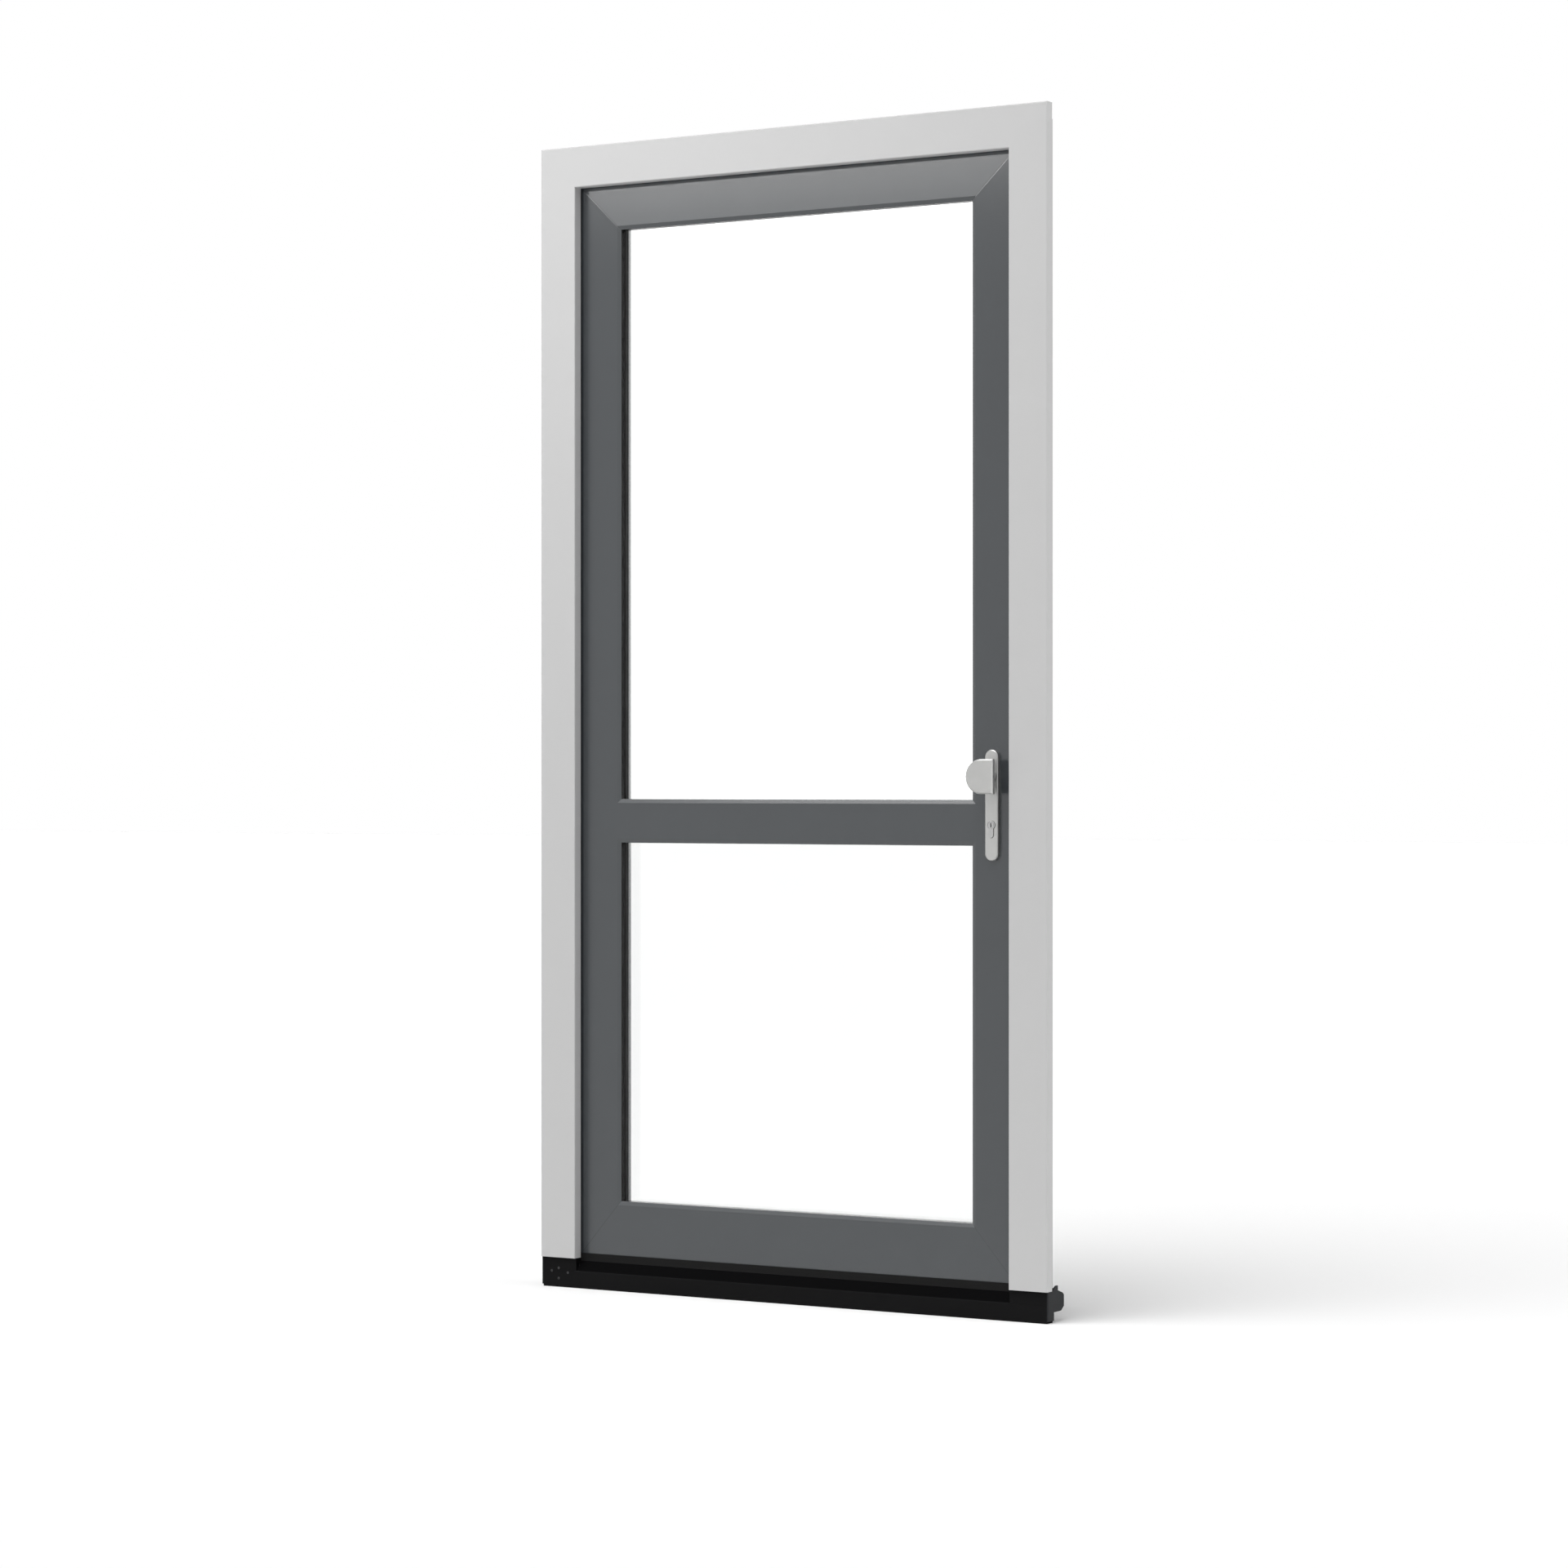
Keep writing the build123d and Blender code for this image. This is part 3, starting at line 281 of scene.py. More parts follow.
def placed_group(tree, group, **values):
    """One use of a group in a material, with its own values; gives its first output."""
    node = tree.nodes.new("ShaderNodeGroup")
    node.node_tree = group
    for label, value in values.items():
        feed(tree, node.inputs[label.replace("_", " ")], value)
    return node.outputs[0]


def between(tree, mask, low, high):
    """A number that goes from low to high as the mask goes from 0 to 1."""
    node = tree.nodes.new("ShaderNodeMapRange")
    feed(tree, node.inputs["Value"], mask)
    feed(tree, node.inputs["To Min"], low)
    feed(tree, node.inputs["To Max"], high)
    return node.outputs["Result"]


def two_tones(tree, mask, low, high):
    """A colour that goes from low to high as the mask goes from 0 to 1."""
    node = tree.nodes.new("ShaderNodeMix")
    node.data_type = "RGBA"
    feed(tree, node.inputs["Factor"], mask)
    feed(tree, node.inputs["A"], (*low, 1))
    feed(tree, node.inputs["B"], (*high, 1))
    return node.outputs["Result"]


def shade(colour, amount):
    """The colour, lighter or darker by the factor."""
    return tuple(min(1.0, part * amount) for part in colour)


def relief(tree, height, depth):
    """A normal from a height mask, in metres from its lowest to its highest."""
    node = tree.nodes.new("ShaderNodeBump")
    node.inputs["Strength"].default_value = 1.0
    node.inputs["Distance"].default_value = depth
    feed(tree, node.inputs["Height"], height)
    return node.outputs["Normal"]


def dress(name, material):
    """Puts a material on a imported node, in place of the one that it came with."""
    mesh = nodes[name].data
    mesh.materials.clear()
    mesh.materials.append(material)


def white_skin(name, along):
    """White plastic with faint die lines; along is 0 for a level bar and 2 for an upright one."""
    material, tree, shader = finish_of(name)
    stretch = [900.0, 900.0, 900.0]
    stretch[along] = 3.0
    lines = placed_group(tree, GRAIN, Stretch=tuple(stretch), Detail=1.0)
    mottle = placed_group(tree, GRAIN, Stretch=(5.0, 5.0, 5.0), Detail=3.0)
    weld = placed_group(
        tree, WELD, Corner_X=FRAME_CORNER[0], Corner_Z=FRAME_CORNER[1],
        Run_X=FRAME_MITRE[0], Run_Z=FRAME_MITRE[1], Half_Width=FRAME_WELD_HALF_WIDTH,
    )
    feed(tree, shader.inputs["Base Color"],
         two_tones(tree, mottle, shade(FRAME_WHITE, 0.985), shade(FRAME_WHITE, 1.015)))
    feed(tree, shader.inputs["Roughness"], between(tree, mottle, *FRAME_ROUGHNESS))
    height = sums(tree, "SUBTRACT", sums(tree, "MULTIPLY", lines, DIE_LINE_SHARE), weld)
    feed(tree, shader.inputs["Normal"], relief(tree, height, FRAME_RELIEF))
    return material


head_skin = white_skin("white_upvc_level", 0)
jamb_skin = white_skin("white_upvc_upright", 2)
dress("frame_head", head_skin)
dress("frame_jamb_left", jamb_skin)
dress("frame_jamb_right", jamb_skin)


# Rubber seals and gaskets
# Extruded black rubber: a lip seal pushed into a groove of the frame, the threshold and the leaf,
# and flat gaskets on both faces of the glass. Matt, with fine pores.

RUBBER_BLACK = (0.005, 0.005, 0.005)
RUBBER_ROUGHNESS = (0.62, 0.80)
RUBBER_PORES = 0.00003

rubber, tree, shader = finish_of("black_rubber")
bloom = placed_group(tree, GRAIN, Stretch=(30.0, 30.0, 30.0), Detail=4.0)
pores = placed_group(tree, GRAIN, Stretch=(2500.0, 2500.0, 2500.0), Detail=1.0)
feed(tree, shader.inputs["Base Color"],
     two_tones(tree, bloom, shade(RUBBER_BLACK, 0.7), shade(RUBBER_BLACK, 1.5)))
feed(tree, shader.inputs["Roughness"], between(tree, bloom, *RUBBER_ROUGHNESS))
shader.inputs["Specular IOR Level"].default_value = 0.12
feed(tree, shader.inputs["Normal"], relief(tree, pores, RUBBER_PORES))
for name in ("frame_seal", "threshold_seal", "leaf_seal", "outer_gaskets", "inner_gaskets"):
    dress(name, rubber)


# Threshold
# A low black threshold profile with a nose, a slope and a foot, filled under each jamb by a
# moulded block and closed at each end by a dark grey moulded plate.

THRESHOLD_BLACK = (0.0082, 0.0082, 0.0085)
# Painted shade: the slope behind the nose gets a darker black than the face, for the shade that it lies in.
SLOPE_SHADE_BLACK = (0.0022, 0.0022, 0.0024)
SLOPE_START = -0.0112
SLOPE_DULLER = 0.3
THRESHOLD_ROUGHNESS = (0.50, 0.62)
THRESHOLD_LINES = 0.00002
CAP_GREY = (0.0120, 0.0127, 0.0142)
CAP_ROUGHNESS = (0.48, 0.66)
CAP_SPECKLE = 0.00006

threshold_skin, tree, shader = finish_of("threshold_black")
cloud = placed_group(tree, GRAIN, Stretch=(6.0, 20.0, 20.0), Detail=3.0)
lines = placed_group(tree, GRAIN, Stretch=(4.0, 1500.0, 1500.0), Detail=2.0)
place = tree.nodes.new("ShaderNodeTexCoord")
axes = tree.nodes.new("ShaderNodeSeparateXYZ")
feed(tree, axes.inputs[0], place.outputs["Object"])
# Behind the nose the colour turns to the painted shade, and the roughness rises by the duller share.
behind_nose = sums(tree, "GREATER_THAN", axes.outputs["Y"], SLOPE_START)
face_tone = two_tones(tree, cloud, shade(THRESHOLD_BLACK, 0.8), shade(THRESHOLD_BLACK, 1.2))
slope_painted_shade = two_tones(tree, cloud, shade(SLOPE_SHADE_BLACK, 0.8), shade(SLOPE_SHADE_BLACK, 1.2))
both = tree.nodes.new("ShaderNodeMix")
both.data_type = "RGBA"
feed(tree, both.inputs["Factor"], behind_nose)
feed(tree, both.inputs["A"], face_tone)
feed(tree, both.inputs["B"], slope_painted_shade)
feed(tree, shader.inputs["Base Color"], both.outputs["Result"])
duller = sums(tree, "MULTIPLY", behind_nose, SLOPE_DULLER)
feed(tree, shader.inputs["Roughness"],
     sums(tree, "ADD", between(tree, cloud, *THRESHOLD_ROUGHNESS), duller))
shader.inputs["Specular IOR Level"].default_value = 0.03
feed(tree, shader.inputs["Normal"], relief(tree, lines, THRESHOLD_LINES))
for name in ("threshold_sill", "threshold_block_left", "threshold_block_right"):
    dress(name, threshold_skin)

cap_skin, tree, shader = finish_of("moulded_grey")
speckle = placed_group(tree, GRAIN, Stretch=(1400.0, 1400.0, 1400.0), Detail=2.0)
cloud = placed_group(tree, GRAIN, Stretch=(40.0, 40.0, 40.0), Detail=3.0)
feed(tree, shader.inputs["Base Color"], two_tones(tree, cloud, shade(CAP_GREY, 0.9), shade(CAP_GREY, 1.12)))
feed(tree, shader.inputs["Roughness"], between(tree, speckle, *CAP_ROUGHNESS))
shader.inputs["Specular IOR Level"].default_value = 0.18
feed(tree, shader.inputs["Normal"], relief(tree, speckle, CAP_SPECKLE))
for name in ("threshold_end_cap_left", "threshold_end_cap_right"):
    dress(name, cap_skin)


# Screws in the threshold's face
# Four small round-headed screws through the threshold's face under the hinge jamb, dull steel,
# each with a cross in its head.

SILL_SCREW_SPOTS = [(-0.552, 0.0320), (-0.535, 0.0380), (-0.535, 0.0175), (-0.513, 0.0296)]
SILL_SCREW_RADIUS = 0.0027
SILL_SCREW_PROUD = 0.0011
SILL_SCREW_RECESS = 0.0005
SILL_SCREW_SUNK = 0.0006
SCREW_RINGS = 9
SCREW_ROUND = 32
SMOOTH_UNDER = math.radians(35)
STEEL_TARNISHED = (0.035, 0.035, 0.036)
STEEL_WORN = (0.065, 0.065, 0.066)
OUTSIDE = (0, -1, 0)
UPWARD = (0, 0, 1)


def skin_over(name, points, material, body):
    """A closed mesh over a grid of points, or over several such grids, whose columns close into a ring.

    The last three axes are rows, columns and x, y, z. Each four neighbours make one face. Doubled
    points at the poles are merged, and the faces are turned outwards.
    """
    rows, columns = points.shape[-3:-1]
    start = np.arange(points.size // (3 * rows * columns)) * rows * columns
    first, row, column = np.meshgrid(start, np.arange(rows - 1), np.arange(columns), indexing="ij")
    here = first + row * columns
    after = (column + 1) % columns
    corners = [here + column, here + after, here + columns + after, here + columns + column]
    faces = np.stack(corners, axis=-1).reshape(-1, 4)
    mesh = bpy.data.meshes.new(name)
    mesh.from_pydata(points.reshape(-1, 3).tolist(), [], faces.tolist())
    work = bmesh.new()
    work.from_mesh(mesh)
    bmesh.ops.remove_doubles(work, verts=work.verts, dist=1e-7)
    bmesh.ops.dissolve_degenerate(work, edges=work.edges, dist=1e-8)
    bmesh.ops.recalc_face_normals(work, faces=work.faces)
    work.to_mesh(mesh)
    work.free()
    mesh.shade_smooth()
    mesh.set_sharp_from_angle(angle=SMOOTH_UNDER)
    mesh.materials.append(material)
    piece = bpy.data.objects.new(name, mesh)
    bpy.context.scene.collection.objects.link(piece)
    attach(piece, body)
    return piece


def screw_head(radius, proud, recess, sunk):
    """A screw head as out and across distances: columns go round, rows from the buried rim to the middle.

    The outline is a quarter circle of the head's radius and rise. Its middle is lowered by the
    recess, a cross whose arms are a tenth of the head wide and fade out at two thirds of the radius.
    """
    share = np.linspace(0.0, 1.0, SCREW_RINGS)[:, None]
    turn = np.linspace(0.0, 2 * math.pi, SCREW_ROUND, endpoint=False)[None, :]
    across = radius * np.cos(share * math.pi / 2)
    rise = proud * np.sin(share * math.pi / 2) + 0 * turn
    x = across * np.cos(turn)
    z = across * np.sin(turn)
    arm = np.minimum(np.abs(x), np.abs(z))
    within_arms = np.clip(1.4 - arm / (0.11 * radius), 0, 1)
    within_reach = np.clip((0.68 * radius - across) / (0.1 * radius), 0, 1)
    rise = rise - recess * (within_arms * within_reach)
    rim = np.stack([x[:1], z[:1], np.full_like(x[:1], -sunk)], axis=-1)
    tip = np.zeros((1, SCREW_ROUND, 3))
    tip[..., 2] = -sunk
    top = np.stack([x, z, rise], axis=-1)
    return np.concatenate([tip, rim, top], axis=0)


def standing_on(shape, out, up, places):
    """Copies of a shape of across, up and rise, one at each place, on a face that looks out.

    A copy's point is its place plus across times the cross product of up and out, plus up, plus
    rise times out.
    """
    out, up = np.array(out, dtype=float), np.array(up, dtype=float)
    axes = np.stack([np.cross(up, out), up, out])
    return np.array(places)[:, None, None, :] + shape @ axes


dull_steel, tree, shader = finish_of("dull_steel")
tarnish = placed_group(tree, GRAIN, Stretch=(260.0, 260.0, 260.0), Detail=3.0)
feed(tree, shader.inputs["Base Color"], two_tones(tree, tarnish, STEEL_TARNISHED, STEEL_WORN))
feed(tree, shader.inputs["Roughness"], between(tree, tarnish, 0.34, 0.55))
shader.inputs["Metallic"].default_value = 1.0

sill_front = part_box("threshold_sill")[0].y
for index, (x, z) in enumerate(SILL_SCREW_SPOTS):
    head = screw_head(SILL_SCREW_RADIUS, SILL_SCREW_PROUD, SILL_SCREW_RECESS, SILL_SCREW_SUNK)
    head = standing_on(head, OUTSIDE, UPWARD, [(x, sill_front, z)])
    skin_over("threshold_screw_%d" % (index + 1), head, dull_steel, "frame")


# Leaf
# Upvc profiles wrapped in a fine-grained anthracite foil, sawn at 45 degrees and welded at the four
# corners, with a mid rail fixed between the stiles. The foil's grain runs along each bar.

ANTHRACITE = (0.0362, 0.0416, 0.0463)
LEAF_TOP_CORNER = (0.501, 2.226)
LEAF_BOTTOM_CORNER = (0.501, 0.061)
LEAF_TOP_MITRE = (-0.101, -0.097)
LEAF_BOTTOM_MITRE = (-0.101, 0.117)
FOIL_GRAIN = 0.00004
FOIL_BRUSHING = 0.62
FOIL_REVEALS = [(0.0, 0.400, 1.5575, 0.5715), (0.0, 0.400, 0.538, 0.360)]
REVEAL_MARGIN = 0.0005
FOIL_END = 0.0135
FOIL_ROUGHNESS = (0.18, 0.26)
LEAF_WELD_HALF_WIDTH = 0.0011
LEAF_WELD_DEPTH = 1.5
LEAF_WELD_TINT = (0.45, 0.45, 0.45)
LEAF_WELD_TINT_SHARE = 0.6
PROFILE_BLACK_AND_SHADE = (0.006, 0.006, 0.006)


def object_axis(tree, axis):
    """The direction of the object's own X or Z axis, for gloss that spreads across the brushing."""
    own = tree.nodes.new("ShaderNodeVectorTransform")
    own.vector_type = "VECTOR"
    own.convert_from = "OBJECT"
    own.convert_to = "WORLD"
    way = [0.0, 0.0, 0.0]
    way[axis] = 1.0
    own.inputs[0].default_value = way
    return own.outputs[0]


def inside_reveals(tree):
    """1 behind the bevel in either glass opening, where the profile's bare black body shows, painted darker
    still as shade.

    A place is inside an opening when its distances from the opening's middle, across and up, are
    both no more than the opening's half sizes and a half millimetre.
    """
    place = tree.nodes.new("ShaderNodeTexCoord")
    axes = tree.nodes.new("ShaderNodeSeparateXYZ")
    feed(tree, axes.inputs[0], place.outputs["Object"])
    parts = []
    for middle_x, half_x, middle_z, half_z in FOIL_REVEALS:
        across = sums(tree, "COMPARE", axes.outputs["X"], middle_x, half_x + REVEAL_MARGIN)
        up = sums(tree, "COMPARE", axes.outputs["Z"], middle_z, half_z + REVEAL_MARGIN)
        parts.append(sums(tree, "MULTIPLY", across, up))
    behind = sums(tree, "GREATER_THAN", axes.outputs["Y"], FOIL_END)
    return sums(tree, "MULTIPLY", sums(tree, "MAXIMUM", *parts), behind)


def anthracite_foil(name, along):
    """Foil with its grain along the bar; along is 0 for a level bar and 2 for an upright one."""
    material, tree, shader = finish_of(name)
    stretch = [1500.0, 1500.0, 1500.0]
    stretch[along] = 45.0
    grain = placed_group(tree, GRAIN, Stretch=tuple(stretch), Detail=2.0)
    cloud = placed_group(tree, GRAIN, Stretch=(9.0, 9.0, 9.0), Detail=3.0)
    welds = [
        placed_group(tree, WELD, Corner_X=corner[0], Corner_Z=corner[1], Run_X=mitre[0], Run_Z=mitre[1],
                     Half_Width=LEAF_WELD_HALF_WIDTH)
        for corner, mitre in ((LEAF_TOP_CORNER, LEAF_TOP_MITRE), (LEAF_BOTTOM_CORNER, LEAF_BOTTOM_MITRE))
    ]
    weld = sums(tree, "MAXIMUM", *welds)
    foil = two_tones(tree, cloud, shade(ANTHRACITE, 0.94), shade(ANTHRACITE, 1.07))
    tint = tree.nodes.new("ShaderNodeMix")
    tint.data_type = "RGBA"
    tint.blend_type = "MULTIPLY"
    feed(tree, tint.inputs["Factor"], sums(tree, "MULTIPLY", weld, LEAF_WELD_TINT_SHARE))
    feed(tree, tint.inputs["A"], foil)
    feed(tree, tint.inputs["B"], (*LEAF_WELD_TINT, 1))
    # Painted shade: in the reveals the foil gives way to a near-black colour with full metal, so that they
    # reflect almost nothing and read as shade on the profile's black body.
    reveal = inside_reveals(tree)
    bare_and_shaded = tree.nodes.new("ShaderNodeMix")
    bare_and_shaded.data_type = "RGBA"
    feed(tree, bare_and_shaded.inputs["Factor"], reveal)
    feed(tree, bare_and_shaded.inputs["A"], tint.outputs["Result"])
    feed(tree, bare_and_shaded.inputs["B"], (*PROFILE_BLACK_AND_SHADE, 1))
    feed(tree, shader.inputs["Base Color"], bare_and_shaded.outputs["Result"])
    feed(tree, shader.inputs["Metallic"], reveal)
    feed(tree, shader.inputs["Roughness"], between(tree, grain, *FOIL_ROUGHNESS))
    shader.inputs["Specular IOR Level"].default_value = 0.85
    shader.inputs["Anisotropic"].default_value = FOIL_BRUSHING
    feed(tree, shader.inputs["Tangent"], object_axis(tree, 2 - along))
    height = sums(tree, "SUBTRACT", grain, sums(tree, "MULTIPLY", weld, LEAF_WELD_DEPTH))
    feed(tree, shader.inputs["Normal"], relief(tree, height, FOIL_GRAIN))
    return material


level_foil = anthracite_foil("anthracite_foil_level", 0)
upright_foil = anthracite_foil("anthracite_foil_upright", 2)
for name in ("leaf_top_rail", "leaf_bottom_rail", "leaf_mid_rail", "upper_beads_level", "lower_beads_level"):
    dress(name, level_foil)
for name in ("leaf_hinge_stile", "leaf_lock_stile", "upper_beads_upright", "lower_beads_upright"):
    dress(name, upright_foil)


# Glass
# Two sealed units of two clear 4 mm sheets each, with a black spacer bar between them just behind
# the sight line, standing on plastic setting blocks.

GLASS_WIPED = (0.990, 0.996, 0.994)
GLASS_CLEAR = (0.998, 1.0, 0.999)
GLASS_ROUGHNESS = (0.0, 0.012)
GLASS_SHADOW = (0.55, 0.553, 0.551)
SPACER_DARK = (0.008, 0.008, 0.008)
SPACER_LIGHT = (0.022, 0.022, 0.022)
SPACER_ROUGHNESS = (0.5, 0.75)
SPACER_DOTS = 0.00004

clear_glass, tree, shader = finish_of("clear_glass")
wipe = placed_group(tree, GRAIN, Stretch=(3.0, 3.0, 14.0), Detail=4.0)
feed(tree, shader.inputs["Base Color"], two_tones(tree, wipe, GLASS_WIPED, GLASS_CLEAR))
feed(tree, shader.inputs["Roughness"], between(tree, wipe, *GLASS_ROUGHNESS))
shader.inputs["IOR"].default_value = 1.5
shader.inputs["Transmission Weight"].default_value = 1.0
path = tree.nodes.new("ShaderNodeLightPath")
let_light_by = tree.nodes.new("ShaderNodeBsdfTransparent")
let_light_by.inputs["Color"].default_value = (*GLASS_SHADOW, 1)
pane_mix = tree.nodes.new("ShaderNodeMixShader")
feed(tree, pane_mix.inputs[0], path.outputs["Is Shadow Ray"])
feed(tree, pane_mix.inputs[1], shader.outputs[0])
feed(tree, pane_mix.inputs[2], let_light_by.outputs[0])
feed(tree, tree.nodes["Material Output"].inputs["Surface"], pane_mix.outputs[0])
for name in ("upper_outer_pane", "upper_inner_pane", "lower_outer_pane", "lower_inner_pane"):
    dress(name, clear_glass)

spacer_skin, tree, shader = finish_of("spacer_black")
dots = placed_group(tree, GRAIN, Stretch=(900.0, 900.0, 900.0), Detail=1.0)
feed(tree, shader.inputs["Base Color"], two_tones(tree, dots, SPACER_DARK, SPACER_LIGHT))
feed(tree, shader.inputs["Roughness"], between(tree, dots, *SPACER_ROUGHNESS))
feed(tree, shader.inputs["Normal"], relief(tree, dots, SPACER_DOTS))
for name in ("glass_spacers", "setting_blocks"):
    dress(name, spacer_skin)


# Hinges
# Three cast and anodised surface hinges on the room side, each with a plate on the frame and one on
# the leaf, three barrels and a steel pin with a flat head.

SATIN = (0.455, 0.455, 0.448)
SATIN_ROUGHNESS = 0.34
STEEL = (0.44, 0.44, 0.44)
STEEL_ROUGHNESS = 0.30
BRUSH_SPREAD = 0.16
BRUSH_DEPTH = 0.00002
HINGE_PLATE = 0.005


def satin_metal(name, along, tone, rough):
    """Satin anodised metal, brushed along one axis: 0 for X and 2 for Z."""
    material, tree, shader = finish_of(name)
    stretch = [4000.0, 4000.0, 4000.0]
    stretch[along] = 120.0
    brush = placed_group(tree, GRAIN, Stretch=tuple(stretch), Detail=2.0)
    cloud = placed_group(tree, GRAIN, Stretch=(60.0, 60.0, 60.0), Detail=2.0)
    feed(tree, shader.inputs["Base Color"], two_tones(tree, cloud, shade(tone, 0.96), shade(tone, 1.04)))
    feed(tree, shader.inputs["Roughness"], between(tree, brush, rough, rough + BRUSH_SPREAD))
    feed(tree, shader.inputs["Normal"], relief(tree, brush, BRUSH_DEPTH))
    shader.inputs["Metallic"].default_value = 1.0
    return material


satin_upright = satin_metal("satin_aluminium_upright", 2, SATIN, SATIN_ROUGHNESS)
satin_level = satin_metal("satin_aluminium_level", 0, SATIN, SATIN_ROUGHNESS)
lock_steel = satin_metal("lock_steel", 2, STEEL, STEEL_ROUGHNESS)
for where in ("lower", "middle", "upper"):
    dress("hinge_on_frame_" + where, satin_upright)
    dress("hinge_on_leaf_" + where, satin_upright)
dress("hinge_pins", lock_steel)

HINGE_SCREW_RADIUS = 0.0037
HINGE_SCREW_PROUD = 0.0009
HINGE_SCREW_RECESS = 0.0007
HINGE_SCREW_SUNK = 0.0005
FRAME_SCREW_IN = 0.0075
FRAME_SCREW_RISE = 0.012
LEAF_SCREW_IN = 0.0195
LEAF_SCREW_STAGGER = 0.0045
LEAF_SCREW_RISES = (-0.042, -0.014, 0.014, 0.042)
ROOM = (0, 1, 0)

bright_screw, tree, shader = finish_of("bright_screw")
turned = placed_group(tree, GRAIN, Stretch=(700.0, 700.0, 700.0), Detail=2.0)
feed(tree, shader.inputs["Base Color"], two_tones(tree, turned, (0.33, 0.33, 0.325), (0.47, 0.47, 0.46)))
feed(tree, shader.inputs["Roughness"], between(tree, turned, 0.26, 0.42))
shader.inputs["Metallic"].default_value = 1.0

hinge_screw = screw_head(HINGE_SCREW_RADIUS, HINGE_SCREW_PROUD, HINGE_SCREW_RECESS, HINGE_SCREW_SUNK)
on_frame_plates = []
on_leaf_plates = []
for where in ("lower", "middle", "upper"):
    low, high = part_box("hinge_on_frame_" + where)
    middle = (low.z + high.z) / 2
    plate_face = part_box("frame_jamb_left")[1].y + HINGE_PLATE
    on_frame_plates += [(low.x + FRAME_SCREW_IN, plate_face, middle + rise)
                        for rise in (-FRAME_SCREW_RISE, FRAME_SCREW_RISE)]
    plate_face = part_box("leaf_hinge_stile")[1].y + HINGE_PLATE
    plate_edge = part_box("hinge_on_leaf_" + where)[1].x
    for index, rise in enumerate(LEAF_SCREW_RISES):
        across = plate_edge - LEAF_SCREW_IN + LEAF_SCREW_STAGGER * (-1) ** index
        on_leaf_plates.append((across, plate_face, middle + rise))
frame_screws = standing_on(hinge_screw, ROOM, UPWARD, on_frame_plates)
skin_over("hinge_frame_screws", frame_screws, bright_screw, "frame")
leaf_screws = standing_on(hinge_screw, ROOM, UPWARD, on_leaf_plates)
skin_over("hinge_leaf_screws", leaf_screws, bright_screw, "leaf")


# Door furniture and lock
# A narrow plate with round ends on each side, a fixed D-shaped pull outside and a flat bar lever
# inside, and a keyed cylinder through both. The lock's steel strip fills the groove in the leaf's edge.

dress("outside_plate", satin_upright)
dress("inside_plate", satin_upright)
dress("outside_knob", satin_upright)
dress("inside_lever", satin_level)
for name in ("lock_cylinder", "lock_faceplate", "latch_bolt", "lock_bolts", "strike_plates"):
    dress(name, lock_steel)

PLATE_SCREW_FROM_END = 0.014
PLATE_SCREW = {"radius": 0.0044, "proud": 0.0009, "recess": 0.0008, "sunk": 0.0005}
LOCK_SCREW = {"radius": 0.0032, "proud": 0.0007, "recess": 0.0006, "sunk": 0.0004}
STRIP_SCREW_HEIGHTS = (0.272, 0.552, 0.646, 0.780, 0.906, 0.990, 1.067, 1.275, 1.482, 1.576, 1.790, 2.008)
KEEP_SCREW_HEIGHTS = (0.547, 0.651, 0.900, 1.073, 1.477, 1.581)
LOCK_SIDE = (1, 0, 0)
HINGE_SIDE = (-1, 0, 0)

low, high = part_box("inside_plate")
plate_ends = (low.z + PLATE_SCREW_FROM_END, high.z - PLATE_SCREW_FROM_END)
places = [((low.x + high.x) / 2, high.y, z) for z in plate_ends]
plate_screws = standing_on(screw_head(**PLATE_SCREW), ROOM, UPWARD, places)
skin_over("inside_plate_screws", plate_screws, bright_screw, "leaf")

head = screw_head(**LOCK_SCREW)
low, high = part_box("lock_faceplate")
places = [(high.x, (low.y + high.y) / 2, z) for z in STRIP_SCREW_HEIGHTS]
strip_screws = standing_on(head, LOCK_SIDE, UPWARD, places)
skin_over("lock_strip_screws", strip_screws, bright_screw, "leaf")
low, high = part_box("strike_plates")
places = [(low.x, (low.y + high.y) / 2, z) for z in KEEP_SCREW_HEIGHTS]
keep_screws = standing_on(head, HINGE_SIDE, UPWARD, places)
skin_over("keep_screws", keep_screws, bright_screw, "frame")


# Keyed cylinder
# A nickelled cylinder of the usual keyhole section, right through the leaf. At each end a round plug
# turns in its head, with a fine gap round it and a keyway with a ward on one side.

CYLINDER_STEM = 0.010
PLUG_RADIUS = 0.0062
PLUG_GAP = 0.0003
PLUG_GAP_DEPTH = 0.0008
EDGE_EASE = 0.0003
KEYWAY_HALF_WIDTH = 0.0009
KEYWAY_HALF_LENGTH = 0.0043
KEYWAY_DEPTH = 0.006
WARD = 0.0006
WARD_ANGLE = math.radians(-50)
HEAD_POINTS = 72
STEM_POINTS = 14


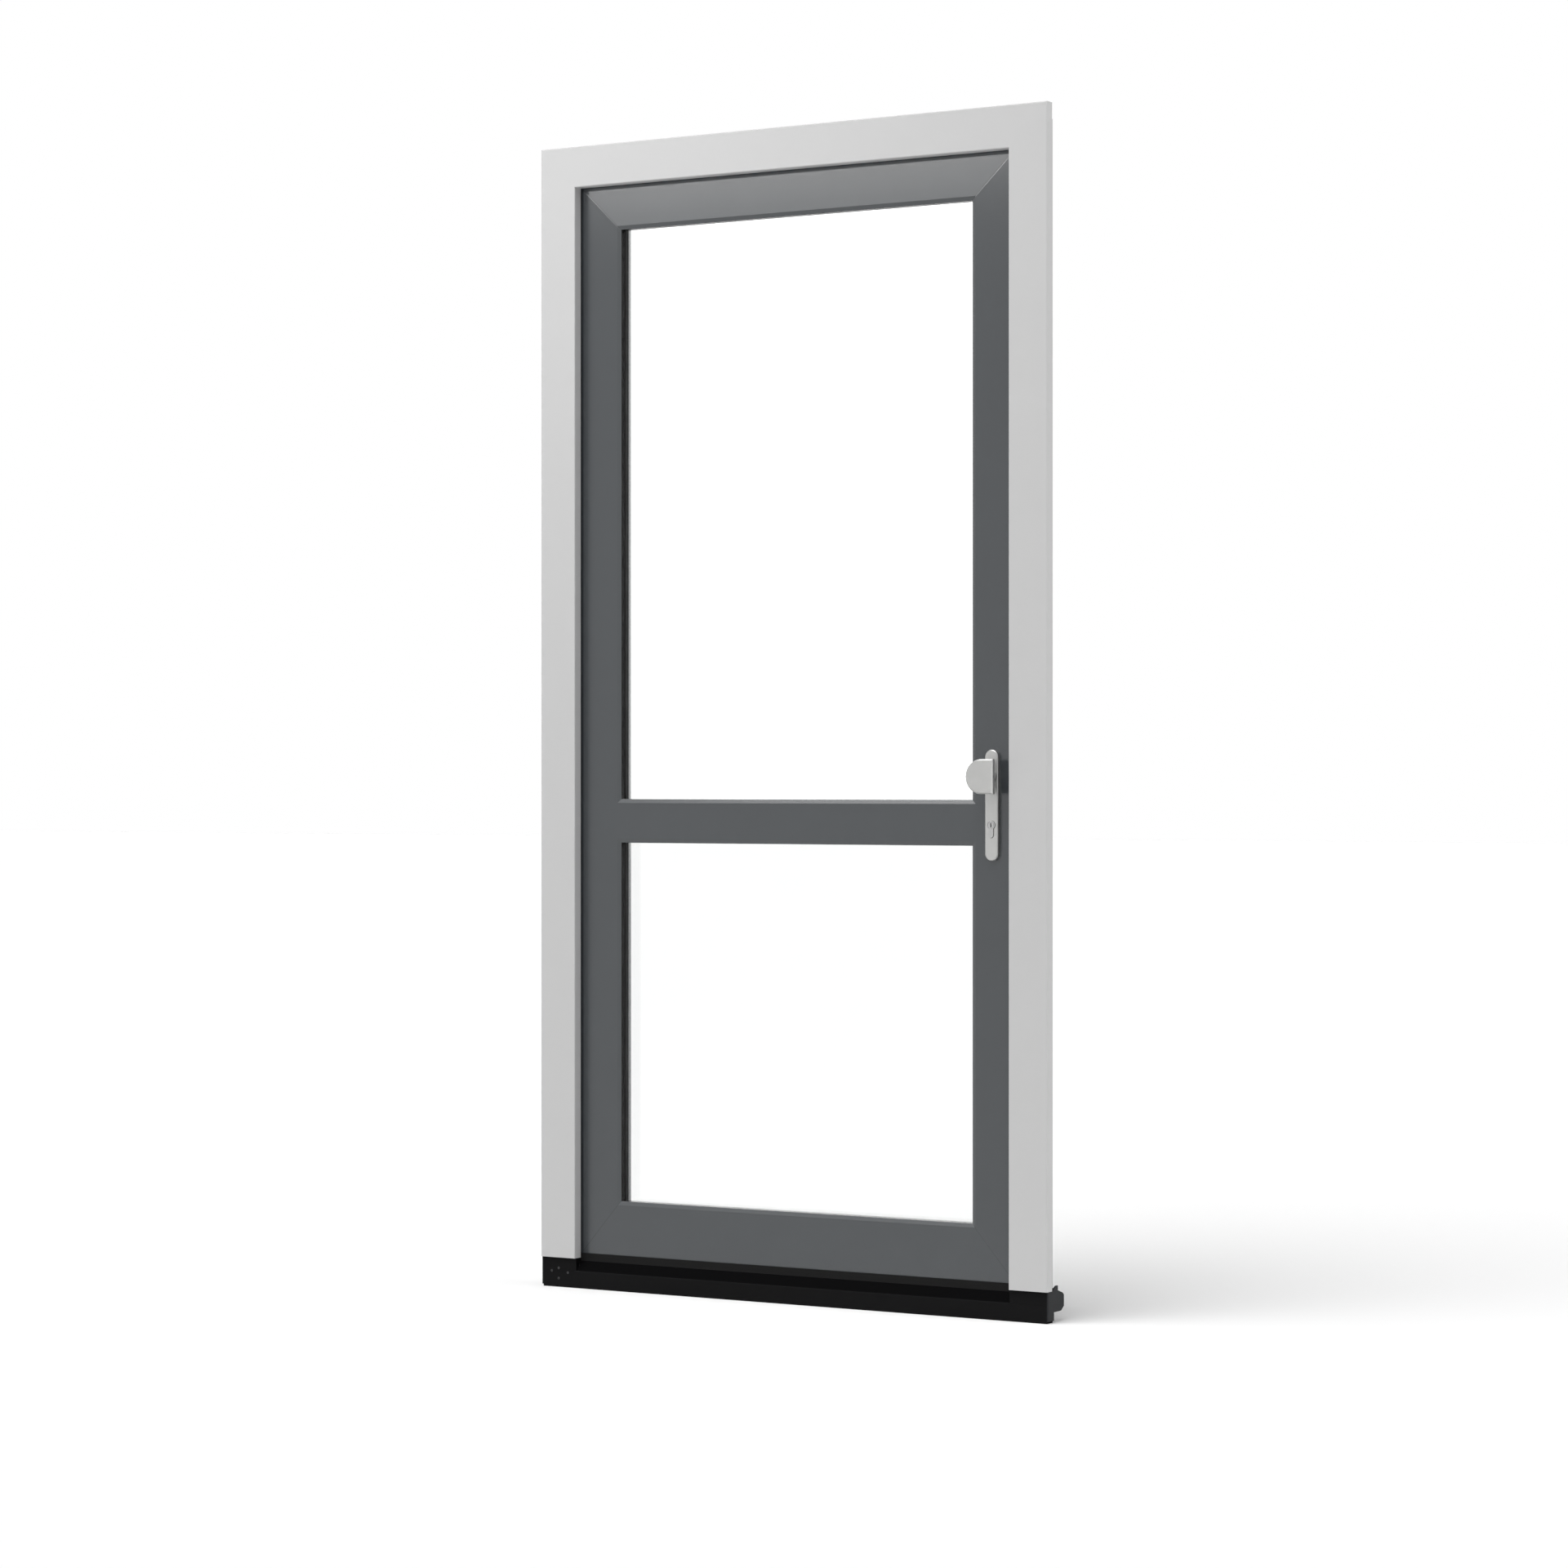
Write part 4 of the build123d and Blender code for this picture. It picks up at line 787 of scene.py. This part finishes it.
def cylinder_outline(radius, stem_half, stem_length):
    """Angles and radii of the cylinder's section about the head's middle, once round.

    The head is a circle. The stem is two upright lines at the stem's half width, closed below by a
    half circle of that radius.
    """
    neck = math.asin(stem_half / radius)
    head_turn = np.linspace(neck, 2 * math.pi - neck, HEAD_POINTS)
    head_x, head_z = radius * np.sin(head_turn), -radius * np.cos(head_turn)
    side_z = np.linspace(-radius * math.cos(neck), -(stem_length - stem_half), STEM_POINTS)[1:-1]
    foot_turn = np.linspace(-math.pi / 2, math.pi / 2, STEM_POINTS)
    foot_x = stem_half * np.sin(foot_turn)
    foot_z = -(stem_length - stem_half) - stem_half * np.cos(foot_turn)
    x = np.concatenate([head_x, np.full_like(side_z, -stem_half), foot_x, np.full_like(side_z, stem_half)])
    z = np.concatenate([head_z, side_z, foot_z, side_z[::-1]])
    return np.arctan2(z, x), np.hypot(x, z)


def keyway(angle, ease):
    """Radius of the keyway at an angle: a rounded upright slot, wider on one side of its lower half."""
    wide = KEYWAY_HALF_WIDTH + ease + WARD * np.clip(np.cos(angle - WARD_ANGLE) * 4 - 2.6, 0, 1)
    tall = KEYWAY_HALF_LENGTH + ease
    return (np.abs(np.cos(angle) / wide) ** 6 + np.abs(np.sin(angle) / tall) ** 6) ** (-1 / 6)


def keyed_cylinder(low, high):
    """Rings of radius and depth from the outer keyway's floor to the inner one's, on the section's angles."""
    radius = (high.x - low.x) / 2
    angle, section = cylinder_outline(radius, CYLINDER_STEM / 2, high.z - low.z - radius)
    plain = np.ones_like(angle)
    end = [
        (0 * plain, KEYWAY_DEPTH), (keyway(angle, 0), KEYWAY_DEPTH), (keyway(angle, 0), EDGE_EASE),
        (keyway(angle, EDGE_EASE / 2), 0), (plain * (PLUG_RADIUS - EDGE_EASE), 0),
        (plain * PLUG_RADIUS, EDGE_EASE),
        (plain * PLUG_RADIUS, PLUG_GAP_DEPTH), (plain * (PLUG_RADIUS + PLUG_GAP), PLUG_GAP_DEPTH),
        (plain * (PLUG_RADIUS + PLUG_GAP), EDGE_EASE), (plain * (PLUG_RADIUS + PLUG_GAP + EDGE_EASE), 0),
        (section - EDGE_EASE, 0), (section, EDGE_EASE),
    ]
    rings = [(ring, low.y + depth) for ring, depth in end]
    rings += [(ring, high.y - depth) for ring, depth in end[::-1]]
    out = np.stack([ring for ring, depth in rings])
    depth = np.array([depth for ring, depth in rings])[:, None] + 0 * out
    middle_x, middle_z = (low.x + high.x) / 2, high.z - radius
    return np.stack([middle_x + out * np.cos(angle), depth, middle_z + out * np.sin(angle)], axis=-1)


barrel = keyed_cylinder(*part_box("lock_cylinder"))
cylinder = skin_over("keyed_cylinder", barrel, lock_steel, "leaf")
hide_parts("lock_cylinder")
